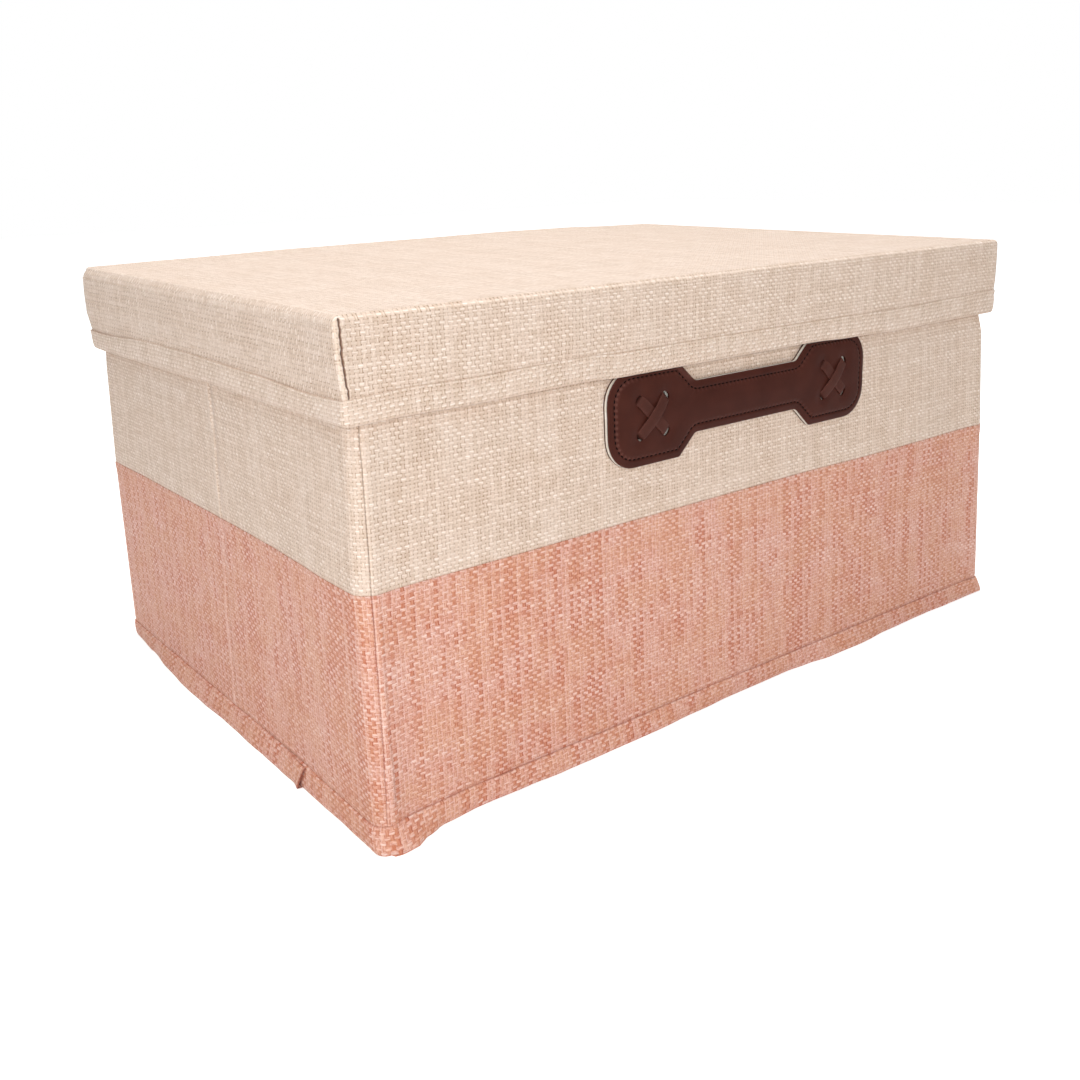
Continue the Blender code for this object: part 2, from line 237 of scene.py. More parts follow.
# Plain weave on a cloth laid out in metres: warp yarns run along V and weft yarns along U.
def weaveGroup():
    values = weaveValues
    group = bpy.data.node_groups.new("plain weave", "ShaderNodeTree")
    for label in ("Cloth", "Warp pitch", "Weft pitch", "Wobble", "Seed"):
        kind = "NodeSocketVector" if label == "Cloth" else "NodeSocketFloat"
        group.interface.new_socket(name=label, in_out="INPUT", socket_type=kind)
    given = group.nodes.new("NodeGroupInput").outputs
    n = Nodes(group)
    cloth, seed = given["Cloth"], given["Seed"]
    stray = n.add("TexNoise", {"noise_dimensions": "2D"}, Vector=cloth, Scale=values["wobbleScale"], Detail=1.0)
    strays = n.add("SeparateColor", Color=stray.outputs["Color"]).outputs
    place = n.add("SeparateXYZ", Vector=cloth).outputs

    def yarns(axis, part, pitch):
        moved = n.calc("MULTIPLY_ADD", n.calc("SUBTRACT", strays[part], 0.5), given["Wobble"], place[axis])
        count = n.calc("DIVIDE", moved, given[pitch])
        index = n.calc("FLOOR", count)
        return count, index, n.calc("SUBTRACT", n.calc("SUBTRACT", count, index), 0.5)

    def tone(index, along, shift):
        start = n.calc("ADD", seed, shift)
        row = n.calc("ADD", index, start)
        lane = n.pair(n.times(row, values["yarnSpread"]), n.times(along, values["toneScale"]))
        wide = n.spread(n.grain(lane, 1.0, 2.0), 2.4)
        return n.calc("ADD", n.times(n.steady(row, start), 0.45), n.times(wide, 0.55))

    def wave(phase):
        return n.calc("MULTIPLY_ADD", n.calc("COSINE", n.times(phase, pi)), 0.5, 0.5)

    def dome(side):
        return n.calc("MAXIMUM", n.less(n.times(side, side)), 0.0)

    def yarnHeight(off, thickness, up):
        half = n.calc("MULTIPLY_ADD", thickness, values["thickYarn"] - values["thinYarn"], values["thinYarn"])
        rounded = dome(n.calc("DIVIDE", off, half))
        rise = n.calc("MULTIPLY_ADD", up, 1.0 - values["low"], values["low"])
        return n.times(n.calc("POWER", rounded, 0.6), rise)

    def line(off, key):
        middle, half = values[key]
        return dome(n.calc("DIVIDE", n.calc("SUBTRACT", off, middle), half))

    def strands(scaleX, scaleY):
        return n.grain(n.pair(n.times(place["X"], scaleX), n.times(place["Y"], scaleY)), 1.0, 1.0)

    warpCount, warpIndex, warpOff = yarns("X", "Red", "Warp pitch")
    weftCount, weftIndex, weftOff = yarns("Y", "Green", "Weft pitch")
    warpTone, weftTone = tone(warpIndex, place["Y"], 0.0), tone(weftIndex, place["X"], 400.0)
    weftPhase = n.calc("ADD", warpCount, n.calc("SUBTRACT", weftIndex, 0.5))
    weftOff = n.calc("MULTIPLY_ADD", n.calc("SINE", n.times(weftPhase, pi)), values["slant"], weftOff)
    weftUp = wave(weftPhase)
    warpUp = wave(n.calc("ADD", weftCount, n.calc("ADD", warpIndex, 0.5)))
    warpHeight, weftHeight = yarnHeight(warpOff, warpTone, warpUp), yarnHeight(weftOff, weftTone, weftUp)
    height = n.calc("MAXIMUM", warpHeight, weftHeight)
    lead = n.calc("MULTIPLY_ADD", n.calc("SUBTRACT", weftHeight, warpHeight), 3.0, 0.5, clamp=True)
    warpShows = n.less(lead)
    fleck = n.steady(n.calc("ADD", warpIndex, seed), weftIndex)
    # Painted highlights on the raised middles of weft and warp stitches.
    crown_highlight = n.times(n.ease(weftUp, 0.08, 0.65), line(weftOff, "crown_highlight"),
                    n.calc("MULTIPLY_ADD", fleck, 1.1, 0.25))
    post_highlight = n.times(n.ease(warpUp, 0.30, 0.90), line(warpOff, "post_highlight"), warpShows,
                   n.calc("MULTIPLY_ADD", fleck, -0.9, 1.3))
    ply = n.times(line(warpOff, "ply"), n.ease(warpTone, 0.34, 0.66), n.less(n.times(lead, 0.7)))
    shade = n.times(line(warpOff, "shade"), warpShows, n.ease(fleck, 0.25, 0.70, 1.0, 0.1))
    wide, narrow = values["strandScale"]
    strand = n.calc("ADD", n.times(strands(wide, narrow), warpShows), n.times(strands(narrow, wide), lead))
    # Gap shade is painted shade in the hollows between yarns; it also roughens them.
    outputs = {"Height": height, "Weft": lead, "Crown highlight": crown_highlight, "Ply": ply, "Shade": shade,
               "Strand": n.spread(strand, 3.2), "Gap shade": n.ease(height, 0.03, 0.45, 1.0, 0.0),
               "Warp tone": warpTone, "Weft tone": weftTone, "Patch": n.grain(cloth, 38.0, 3.0),
               "Fleck": fleck, "Post highlight": post_highlight}
    for label in outputs:
        group.interface.new_socket(name=label, in_out="OUTPUT", socket_type="NodeSocketFloat")
    result = group.nodes.new("NodeGroupOutput")
    for label, socket in outputs.items():
        n.connect(socket, result.inputs[label])
    return group


wovenCloths = {
    "cream cloth": {
        "warp": (rgb(216, 191, 169), rgb(234, 213, 196)),
        "weft": (rgb(212, 187, 165), rgb(248, 231, 218)),
        "crown_highlight": (rgb(255, 244, 235), 0.72),
        "post_highlight": (rgb(252, 240, 229), 0.40),
        "ply": (rgb(253, 239, 228), 0.16),
        "shade": (rgb(172, 134, 104), 0.85),
        "strand": (rgb(192, 160, 134), 0.42),
        "gap_shade": (rgb(140, 106, 80), 1.0),
        "patch": (rgb(222, 190, 165), 0.12),
        "streak": (0.2, 0.8),
        "painted_highlight": rgb(255, 236, 218),
        "painted_shade": rgb(112, 74, 52),
        "pitch": (2.24 * mm, 1.97 * mm),
        "seed": 3.0,
    },
    "pink cloth": {
        "warp": (rgb(208, 134, 104), rgb(233, 186, 167)),
        "weft": (rgb(224, 162, 136), rgb(247, 215, 204)),
        "crown_highlight": (rgb(252, 232, 225), 0.50),
        "post_highlight": (rgb(244, 212, 200), 0.10),
        "ply": (rgb(247, 222, 214), 0.42),
        "shade": (rgb(168, 72, 44), 1.0),
        "strand": (rgb(186, 92, 58), 0.62),
        "gap_shade": (rgb(156, 78, 54), 0.55),
        "patch": (rgb(228, 178, 142), 0.42),
        "streak": (0.30, 0.62),
        "painted_highlight": rgb(255, 228, 216),
        "painted_shade": rgb(136, 60, 44),
        "pitch": (2.56 * mm, 2.07 * mm),
        "seed": 57.0,
    },
}
clothValues = {"wobble": 0.80 * mm, "bumpDepth": 0.40 * mm, "bumpStrength": 0.45}


def clothMaterial(name, weave):
    look = wovenCloths[name]
    material, n = newMaterial(name)
    layout = n.add("UVMap", {"uv_map": "cloth"})
    out = n.add("Group", {"node_tree": weave}, Cloth=layout.outputs["UV"], Seed=look["seed"],
                Warp_pitch=look["pitch"][0], Weft_pitch=look["pitch"][1], Wobble=clothValues["wobble"]).outputs

    def tint(colour, key, mask):
        return n.mix(n.times(mask, look[key][1]), colour, look[key][0])

    # Seen edge on, the raised yarns hide each other and the cloth looks plainer, so the painted highlights and
    # pale plies fade.
    plain = n.ease(n.add("LayerWeight", Blend=0.5).outputs["Facing"], 0.30, 0.72, 1.0, 0.60)
    streak = n.ease(out["Warp tone"], *look["streak"])
    # Painted shade along one side of each warp, less on the lighter warps.
    shade = n.times(out["Shade"], n.calc("MULTIPLY_ADD", streak, -0.8, 1.0))
    warpColour = tint(n.mix(streak, *look["warp"]), "shade", shade)
    weftShare = n.calc("MULTIPLY_ADD", out["Fleck"], 0.35, n.times(out["Weft tone"], 0.65))
    crown_highlight = n.times(out["Crown highlight"], n.calc("MULTIPLY_ADD", out["Weft tone"], 0.7, 0.5))
    # Painted highlights on the stitches and painted shade in the gaps, over the yarns' own strand, patch and ply
    # tones.
    masks = {"patch": n.spread(out["Patch"], 4.0), "strand": out["Strand"], "gap_shade": out["Gap shade"],
             "ply": n.times(out["Ply"], plain), "post_highlight": n.times(out["Post highlight"], plain),
             "crown_highlight": n.times(crown_highlight, plain)}
    colour = n.mix(out["Weft"], warpColour, n.mix(weftShare, *look["weft"]))
    for key, mask in masks.items():
        colour = tint(colour, key, mask)
    for mark in ("painted_highlight", "painted_shade"):       # painted highlight along folds and edges, and painted shade in seams, creases and the slit
        colour = n.mix(n.add("Attribute", {"attribute_name": mark}).outputs["Fac"], colour, look[mark])
    rough = n.calc("MULTIPLY_ADD", out["Gap shade"], 0.10, 0.84)
    n.dress(colour, rough, 0.2, out["Height"], clothValues["bumpStrength"], clothValues["bumpDepth"])
    n.look({"Sheen Weight": 0.22, "Sheen Roughness": 0.5})
    return material


# Thin pressed cloth: fibres laid at random and pinched in a grid of small dots.
def liningMaterial():
    material, n = newMaterial("lining cloth")
    spot = n.add("UVMap", {"uv_map": "cloth"}).outputs["UV"]
    fibre = n.grain(spot, 900.0, 5.0, Distortion=1.5)
    dots = n.add("TexVoronoi", {"voronoi_dimensions": "2D"}, Vector=spot, Scale=620.0, Randomness=0.12)
    pinch = n.ease(dots.outputs["Distance"], 0.12, 0.34)
    colour = n.mix(fibre, rgb(196, 181, 161), rgb(232, 220, 203))
    colour = n.mix(n.times(n.grain(spot, 28.0, 2.0), 0.25), colour, rgb(205, 188, 166))
    colour = n.mix(n.times(n.less(pinch), 0.45), colour, rgb(186, 169, 147))
    rough = n.calc("MULTIPLY_ADD", pinch, 0.2, 0.68)
    n.dress(colour, rough, 0.2, n.calc("ADD", pinch, n.times(fibre, 0.5)), 0.5, 0.15 * mm)
    return material


def leatherMaterial(name, dark, light, poreScale, roughness):
    material, n = newMaterial(name)
    place = n.add("TexCoord").outputs["Object"]
    pores = n.add("TexVoronoi", {"feature": "SMOOTH_F1"}, Vector=place, Scale=poreScale, Smoothness=0.6)
    fine = n.grain(place, poreScale * 2.2, 4.0, "3D")
    cloud = n.grain(place, 70.0, 3.0, "3D")
    highlightAndWear = n.add("Attribute", {"attribute_name": "highlightAndWear"}).outputs["Fac"]
    colour = n.mix(n.spread(cloud, 1.6, 0.45), dark, light)
    colour = n.mix(n.times(n.calc("GREATER_THAN", fine, 0.66), 0.35), colour, light)
    # Paler and rougher where painted highlight lies on the handle, and at the lace's edges.
    colour = n.mix(n.times(highlightAndWear, 0.5), colour, rgb(118, 76, 68))
    rough = n.calc("ADD", n.calc("MULTIPLY_ADD", cloud, 0.16, roughness - 0.08), n.times(highlightAndWear, 0.12))
    n.dress(colour, rough, 0.10, n.calc("ADD", pores.outputs["Distance"], n.times(fine, 0.6)), 0.28, 0.10 * mm)
    return material


# Pressed grey or white board: cloudy pulp with short fibres.
def boardMaterial(name, dark, light, speck):
    material, n = newMaterial(name)
    place = n.add("TexCoord").outputs["Object"]
    pulp = n.grain(place, 210.0, 6.0, "3D", Roughness=0.65)
    stretched = n.add("Mapping", Vector=place, Scale=(900.0, 160.0, 160.0)).outputs["Vector"]
    hair = n.times(n.calc("GREATER_THAN", n.grain(stretched, 1.0, 2.0, "3D"), 0.64), 0.5)
    colour = n.mix(hair, n.mix(pulp, dark, light), speck)
    n.dress(colour, n.calc("MULTIPLY_ADD", pulp, 0.12, 0.82), 0.5, pulp, 0.35, 0.15 * mm)
    return material


def threadMaterial():
    material, n = newMaterial("handle thread")
    place = n.add("TexCoord").outputs["Object"]
    wave = n.add("TexWave", {"bands_direction": "DIAGONAL"}, Vector=place, Scale=700.0, Distortion=1.0)
    twist = wave.outputs["Fac"]
    # Near black: the dark thread, with painted shade from its stitch holes.
    colour = n.mix(twist, rgb(12, 4, 3), rgb(24, 10, 8))
    n.dress(colour, n.calc("MULTIPLY_ADD", twist, 0.15, 0.75), 0.08, twist, 0.5, 0.08 * mm)
    return material


weave = weaveGroup()
creamCloth = clothMaterial("cream cloth", weave)
pinkCloth = clothMaterial("pink cloth", weave)
liningCloth = liningMaterial()
brownLeather = leatherMaterial("brown leather", rgb(64, 30, 23), rgb(78, 39, 30), 1500.0, 0.42)
laceLeather = leatherMaterial("lace leather", rgb(70, 37, 30), rgb(85, 48, 40), 2100.0, 0.46)
greyBoard = boardMaterial("grey board", rgb(128, 122, 114), rgb(160, 154, 145), rgb(196, 190, 180))
paleCore = boardMaterial("pale core", rgb(214, 209, 196), rgb(240, 236, 226), rgb(250, 248, 242))
handleThread = threadMaterial()
print("materials ready")


# Levels and half sizes read from the frame
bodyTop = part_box("front_cloth_upper")[1].z
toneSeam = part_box("front_cloth_lower")[1].z
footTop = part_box("bottom_binding")[1].z
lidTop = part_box("lid_cloth")[1].z
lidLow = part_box("lid_binding")[0].z
wallLean = 8.0 * mm
wallSlope = wallLean / (bodyTop - footTop)
seamHalf = (-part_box("left_cloth_upper")[0].x, -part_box("front_cloth_upper")[0].y)
lidHalf = (-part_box("lid_cloth")[0].x, -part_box("lid_cloth")[0].y)


# Half the length and width of the leaning body at a level, over its cloth.
def wallHalf(z):
    lean = wallSlope * (toneSeam - z)
    return seamHalf[0] + lean, seamHalf[1] + lean


def smooth(x):
    x = min(max(x, 0.0), 1.0)
    return x * x * (3 - 2 * x)


# Eased value between the keys of a table of (place, value).
def tableValue(table, x):
    if x <= table[0][0]:
        return table[0][1]
    for (low, first), (high, second) in zip(table, table[1:]):
        if x <= high:
            return first + (second - first) * smooth((x - low) / (high - low))
    return table[-1][1]


# Smooth noise from -1 to 1 whose bumps are about size across.
def ripple(x, y, size, seed=0.0):
    return noise.noise(Vector((x / size, y / size, seed)))


# The four sides run front, right, back and left, counter-clockwise seen from above.
# Swell is how far the photographed cloth stands out from a plain leaning box, in mm, along each side.
bodyForm = {
    "levels": (251.9, 221.0, 209.4, 196.0, 129.7, 12.0, 0.0),
    "radii": (   # near left, near right, far right, far left
        (7.0, 6.0, 7.0, 7.0), (7.5, 5.0, 7.0, 7.5), (8.0, 4.5, 6.5, 8.0), (9.0, 4.5, 6.0, 8.0),
        (9.5, 4.5, 6.0, 8.0), (9.5, 3.5, 5.5, 8.5), (6.0, 2.5, 5.0, 9.0),
    ),
    "front": (
        ((0, 0),),
        ((0, 0.2), (1, 0.2)),
        ((0, 0.4), (0.10, 0.1), (0.90, 0.1), (1, 0.4)),
        ((0, 1.3), (0.12, 0.2), (0.80, 0.2), (0.92, 0.8), (1, 1.5)),
        ((0, 2.6), (0.07, 1.5), (0.20, 1.6), (0.34, 0.1), (0.60, 0.1), (0.76, 2.6), (0.86, 2.8), (0.94, 2.0),
         (1, 2.6)),
        ((0, 5.0), (0.05, 1.5), (0.12, 0.4), (0.60, 0.2), (0.78, 1.0), (1, 1.9)),
        ((0, 9.6), (0.02, 12.6), (0.035, 12.0), (0.055, 7.0), (0.075, 3.4), (0.12, 1.8), (0.18, 2.2), (0.22, 3.1),
         (0.36, 3.2), (0.41, 1.3), (0.50, 0.4), (0.58, 0.2), (0.62, 1.8), (0.66, 4.6), (0.72, 4.8), (0.78, 2.9),
         (0.86, 2.2), (0.93, 3.2), (1, 3.4)),
    ),
    "right": (
        ((0, 0),),
        ((0, 0.2), (1, 0.2)),
        ((0, 0.4), (0.1, 0.1), (0.9, 0.1), (1, 0.4)),
        ((0, 3.9), (0.2, 1.2), (1, 0.4)),
        ((0, 6.3), (0.25, 2.2), (0.6, 1.6), (1, 0.4)),
        ((0, 10.5), (0.2, 3.6), (0.6, 1.6), (1, 2.2)),
        ((0, 14.2), (0.08, 8.6), (0.25, 3.8), (0.6, 4.4), (1, 5.2)),
    ),
    "back": (
        ((0, 0),),
        ((0, 0.2), (1, 0.2)),
        ((0, 0.4), (0.1, 0.1), (0.9, 0.1), (1, 0.4)),
        ((0, 0.4), (0.3, 0.2), (0.7, 0.9), (1, 0.3)),
        ((0, 0.5), (0.3, 1.6), (0.55, 0.5), (0.8, 1.4), (1, 0.3)),
        ((0, 0.6), (0.5, 0.4), (1, 0.3)),
        ((0, 3.0), (0.2, 2.0), (0.5, 3.0), (0.75, 1.6), (1, 2.4)),
    ),
    "left": (
        ((0, 0),),
        ((0, 0.2), (1, 0.2)),
        ((0, 0.3), (0.1, 0.1), (0.9, 0.1), (1, 0.4)),
        ((0, 1.0), (0.2, 0.2), (0.8, 0.2), (1, 1.3)),
        ((0, 1.7), (0.2, 0.4), (0.60, -0.1), (0.72, 0.3), (0.80, 1.3), (0.90, 2.7), (1, 2.8)),
        ((0, -0.1), (0.1, 0.3), (0.7, 0.3), (1, 2.4)),
        ((0, -1.5), (0.06, -0.8), (0.12, 0.9), (0.22, 4.0), (0.34, 6.0), (0.42, 5.6), (0.50, 4.7), (0.62, 5.2),
         (0.70, 5.2), (0.76, 3.4), (0.88, 3.9), (1, 4.4)),
    ),
}
lidForm = {
    "levels": (256.5, 240.0, 230.0, 222.0, 209.2),
    "radii": ((3.0, 3.5, 4.0, 8.0),) * 5,
    "front": (
        ((0, 0.3), (0.5, 0.0), (1, 0.2)),
        ((0, 0.2), (0.2, 0.4), (0.55, 0.0), (0.8, 0.5), (1, 0.3)),
        ((0, 0.2), (0.3, 0.5), (0.6, 0.1), (0.85, 0.4), (1, 0.3)),
        ((0, 0.0), (1, 0.0)),
        ((0, 0.2), (0.3, -0.1), (0.6, 0.3), (0.85, 0.0), (1, 0.2)),
    ),
    "right": (
        ((0, 2.8), (0.4, 0.4)),
        ((0, 3.8), (0.4, 0.7), (1, 0.3)),
        ((0, 4.1), (0.4, 0.6), (1, 0.2)),
        ((0, 3.8), (0.4, 0.4)),
        ((0, 3.3), (0.4, 0.4)),
    ),
    "back": (((0, 0.2),), ((0, 0.2), (0.4, 0.6), (1, 0.3)), ((0, 0.3),), ((0, 0.1),), ((0, 0.1),)),
    "left": (
        ((0, 1.4), (0.3, 0.2), (0.9, 0.5), (1, 2.2)),
        ((0, 2.4), (0.3, 0.7), (0.9, 0.6), (1, 2.0)),
        ((0, 2.6), (0.3, 0.7), (0.9, 0.5), (1, 1.2)),
        ((0, 1.3), (0.3, 0.3), (1, 0.3)),
        ((0, 0.3), (0.3, 0.4), (1, 0.2)),
    ),
}
sideNames = ("front", "right", "back", "left")


# The outline of a form at one level, pushed in by inset; spot gives the place at a distance round it.
class Ring:

    def __init__(self, form, half, lengths, z, inset=0.0):
        self.z, self.lengths = z, lengths
        levels = form["levels"]
        level = min(max(z / mm, levels[-1]), levels[0])
        upper = next(i for i in range(len(levels) - 1) if levels[i + 1] <= level)
        share = (levels[upper] - level) / (levels[upper] - levels[upper + 1])
        self.tables = [(form[name][upper], form[name][upper + 1], share) for name in sideNames]
        self.ends = [(self.swell(k, 0.0), self.swell(k, 1.0)) for k in range(4)]
        straight = [Vector(way) for way in ((0, -1), (1, 0), (0, 1), (-1, 0))]
        corners = []
        for k, (signX, signY) in enumerate(((-1, -1), (1, -1), (1, 1), (-1, 1))):
            swollen = straight[k - 1] * self.ends[k - 1][1] + straight[k] * self.ends[k][0]
            corners.append(Vector((signX * half[0], signY * half[1])) + swollen)
        walls = [b - a for a, b in sidesOf(corners)]
        self.outer = [wall.length for wall in walls]
        self.along = [wall.normalized() for wall in walls]
        self.out = [Vector((run.y, -run.x)) for run in self.along]
        self.radii = [(a + (b - a) * share) * mm for a, b in zip(*form["radii"][upper:upper + 2])]
        self.shrunk = [max(radius - inset, 0.4 * mm) for radius in self.radii]
        self.inner, self.centres = [], []
        for k, corner in enumerate(corners):
            blend = (self.out[k - 1] + self.out[k]) / (1 + self.out[k - 1].dot(self.out[k]))
            self.inner.append(corner - blend * inset)
            self.centres.append(self.inner[k] - blend * self.shrunk[k])

    def swell(self, side, share):
        first, second, lower = self.tables[side]
        return (tableValue(first, share) * (1 - lower) + tableValue(second, share) * lower) * mm

    # Place and outward direction, both flat, at a distance round the form.
    def spot(self, around):
        around %= sum(self.lengths)
        side = 0
        while around > self.lengths[side]:
            around -= self.lengths[side]
            side += 1
        after = (side + 1) % 4
        share = around / self.lengths[side]
        walked = share * self.outer[side]
        left = self.outer[side] - walked
        if walked < self.radii[side]:
            return self.bend(side, 0.5 + 0.5 * walked / self.radii[side])
        if left < self.radii[after]:
            return self.bend(after, 0.5 - 0.5 * left / self.radii[after])
        start = self.inner[side] + self.along[side] * self.shrunk[side]
        stop = self.inner[after] - self.along[side] * self.shrunk[after]
        part = (walked - self.radii[side]) / (self.outer[side] - self.radii[side] - self.radii[after])
        first, last = self.ends[side]
        bulge = self.swell(side, share) - first - (last - first) * share
        return start.lerp(stop, part) + self.out[side] * bulge, self.out[side]

    def bend(self, corner, part):
        before, beyond = self.out[corner - 1], self.out[corner]
        angle = before.angle(beyond)
        facing = (before * sin((1 - part) * angle) + beyond * sin(part * angle)) / sin(angle)
        return self.centres[corner] + facing * self.shrunk[corner], facing


bodyLengths = (2 * seamHalf[0], 2 * seamHalf[1]) * 2
lidLengths = (2 * lidHalf[0], 2 * lidHalf[1]) * 2
bodyRound, lidRound = sum(bodyLengths), sum(lidLengths)


def sidesOf(outline):
    return list(zip(outline, outline[1:] + outline[:1]))


def bodyRing(z, inset=0.0):
    return Ring(bodyForm, wallHalf(z), bodyLengths, z, inset)


def lidRing(z, inset=0.0):
    return Ring(lidForm, lidHalf, lidLengths, z, inset)


def cornerAt(lengths, corner):
    return sum(lengths[:corner])


# Places from start to stop a step apart, closer in the fine stretches of (middle, reach, step).
def samples(start, stop, step, fine=()):
    places, here = [start], start
    while here < stop:
        nearest = step
        for middle, reach, small in fine:
            away = abs(here - middle) - reach
            if away < 0:
                nearest = min(nearest, small)
            elif here < middle and away < nearest:
                nearest = max(away, small)
        here += nearest
        places.append(min(here, stop))
    if len(places) > 2 and places[-1] - places[-2] < 0.3 * (places[-2] - places[-3]):
        places.pop(-2)
    return places


# Sine and cosine in even steps of a quarter turn.
def quarterTurn(count, first=1):
    angles = [pi / 2 * step / count for step in range(first, count + 1)]
    return [(sin(angle), cos(angle)) for angle in angles]


# Length run so far at each point of a path.
def runLengths(path):
    lengths = [0.0]
    for (a, b), (c, d) in zip(path, path[1:]):
        lengths.append(lengths[-1] + sqrt((c - a) ** 2 + (d - b) ** 2))
    return lengths


# UV in metres from each corner's vertex.
def layUv(mesh, place):
    layer = mesh.loops.layers.uv.new("cloth")
    for face in mesh.faces:
        for loop in face.loops:
            loop[layer].uv = place(loop.vert, face)


def finishSheet(name, mesh, thickness, material, bevel=0.0):
    made = newObject(name, mesh)
    made.data.materials.append(material)
    made.data.shade_smooth()
    solidify = made.modifiers.new("thickness", "SOLIDIFY")
    solidify.thickness = thickness
    if bevel:
        edge = made.modifiers.new("cut edge", "BEVEL")
        edge.width = bevel
        edge.segments = 2
        edge.limit_method = "ANGLE"
        edge.angle_limit = radians(60)
    return made


# Puts a piece on the body it rides on and hides the solid it stands for.
def standIn(made, body, node):
    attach(made, body)
    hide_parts(node)


# A strip of cloth: a grid whose points place(column, row) moves, with its UV in metres.
# marks gives the painted highlight and painted shade at a point, slide shifts a column along the strip.
def clothStrip(name, columns, rows, place, thickness, material, marks=None, slide=None):
    mesh = bmesh.new()
    bmesh.ops.create_grid(mesh, x_segments=len(columns) - 1, y_segments=len(rows) - 1, size=0.5)
    layers = mesh.verts.layers.float
    around, run, painted_highlight, painted_shade = [layers.new(key) for key in ("around", "run", "painted_highlight", "painted_shade")]
    for vert in mesh.verts:
        column = columns[round((vert.co.x + 0.5) * (len(columns) - 1))]
        row = rows[round((vert.co.y + 0.5) * (len(rows) - 1))]
        if slide:
            column = slide(column, row)
        vert[around], vert[run] = column, row["run"]
        if marks:
            vert[painted_highlight], vert[painted_shade] = marks(column, row)
        vert.co = place(column, row)
    layUv(mesh, lambda vert, face: (vert[around], vert[run]))
    return finishSheet(name, mesh, thickness, material)


# Body cloth: the short sides wrap the corners and run in under the folded edges of the long sides
wallCloth = {
    "thickness": 0.8 * mm,
    "seam": 4.3 * mm,           # from the corner's sharp line to the folded edge
    "seamPath": ((0, -0.9), (12, -0.9), (60, 0.3), (130, 0.6), (170, -0.1), (209, -0.9), (252, -0.3)),
    "seamWander": 0.35 * mm,
    "seamReach": 40 * mm,
    "tuck": 4.0 * mm,           # how far one cloth runs in under the next
    "seamDip": 0.12 * mm,
    "cornerLift": 0.65 * mm,
    "cornerEase": 15.0 * mm,
    "toneLift": 0.40 * mm,
    "toneEase": 9.0 * mm,
    "foldRoll": 0.9 * mm,
    "creamDip": 0.12 * mm,
    "step": 4.0 * mm,
    "fineStep": 0.8 * mm,
    "hemInset": 4.7 * mm,
    "hemDepth": 15.0 * mm,
    "rimRound": 1.3 * mm,
    "bindingCover": 0.45 * mm,  # binding and its gap outside the cloth
    "unevenness": 0.30 * mm,
}
foldCrease = {   # the short walls' fold line: a ragged ridge that fades downwards
    "rise": ((0.0, 0.14), (0.012, 0.20), (0.10, 0.32), (0.13, 0.45), (0.16, 0.75), (0.20, 1.15), (0.26, 1.15)),
    "rear": 7.0 * mm,
    "front": 1.1 * mm,
    "wander": 1.4 * mm,
    # Strength of the painted highlight on the ridge, and of the painted shade beside it.
    "painted_highlight": 0.85,
    "shade": 0.25,
    "ahead": ((69, 4.5), (110, 8.6), (133, 8.8), (172, 10.4), (203, 9.8)),   # of the middle, by level, in mm
}
foldPlaces = {
    "left": cornerAt(bodyLengths, 3) + bodyLengths[3] / 2,
    "right": cornerAt(bodyLengths, 1) + bodyLengths[1] / 2,
}


# How far a folded edge stands out, at a distance in from it.
def foldedEdge(distance, lift, ease):
    roll = max(0.0, 1 - distance / wallCloth["foldRoll"])
    return lift * (1 - smooth(distance / ease)) - 0.55 * lift * roll * roll


# Height of a peak that falls to 0 at half its width from the middle.
def peak(x, middle, half):
    return max(0.0, 1 - abs(x - middle) / half)


def leftAround(y):
    return foldPlaces["left"] - y


def foldAt(side, z):
    ahead = tableValue(foldCrease["ahead"], z / mm) * mm if side == "left" else 0.0
    return foldPlaces[side] + ahead


# Rise of the fold line's ridge, the painted highlight on its crest and the painted shade on the cloth beside it.
def creaseShape(around, z, fold):
    wander = ripple(0.0, z, 14 * mm, 4.0) + 0.5 * ripple(0.0, z, 4 * mm, 9.0)
    off = around - fold - foldCrease["wander"] * wander
    rise = tableValue(foldCrease["rise"], z) * mm
    ragged = 0.7 + 0.8 * ripple(0.3, z, 2.2 * mm, 8.0)
    if off < 0:
        wide = 1.6 * mm + 4.4 * mm * smooth((z - toneSeam) / (12 * mm))
        shape = smooth(1 + off / foldCrease["rear"]) ** 2
        near = 0.70 * peak(off, 0, wide) + 0.30 * peak(off, 0, 1.2 * mm)
    else:
        shape = 1 - smooth(off / foldCrease["front"]) * 1.25
        shape = max(shape, -0.25 * (1 - smooth((off - foldCrease["front"]) / (5 * mm))))
        near = peak(off, 0, 0.7 * mm)
    near *= (0.75 + 0.5 * ripple(0.9, z, 6 * mm, 5.2)) * (0.85 - 0.15 * smooth((z - toneSeam) / (4 * mm)))
    shaded = peak(off, 3 * mm, 3 * mm) * rise / (1.15 * mm)
    return rise * shape * ragged, near * ragged * foldCrease["painted_highlight"], shaded * foldCrease["shade"]


# How far the folded edge strays round the corner at a level.
def seamShift(z):
    wander = wallCloth["seamWander"] * ripple(0.7, z, 13 * mm, 2.4)
    return tableValue(wallCloth["seamPath"], z / mm) * mm + wander


# Up from under the tone seam, over the rim and down inside as a hem.
def upperRows():
    top, inset, turn = bodyTop, wallCloth["hemInset"], wallCloth["rimRound"]
    low = toneSeam - wallCloth["tuck"]
    path = [(z, 0.0) for z in samples(low, top - turn, wallCloth["step"], [(toneSeam, 5 * mm, 1.2 * mm)])]
    path += [(top - turn + turn * s, turn - turn * c) for s, c in quarterTurn(3)]
    path += [(top - turn + turn * c, inset - turn + turn * s) for s, c in quarterTurn(3, 0)]
    path += [(z, inset) for z in (top - 5 * mm, top - 9 * mm, top - wallCloth["hemDepth"])]
    return path


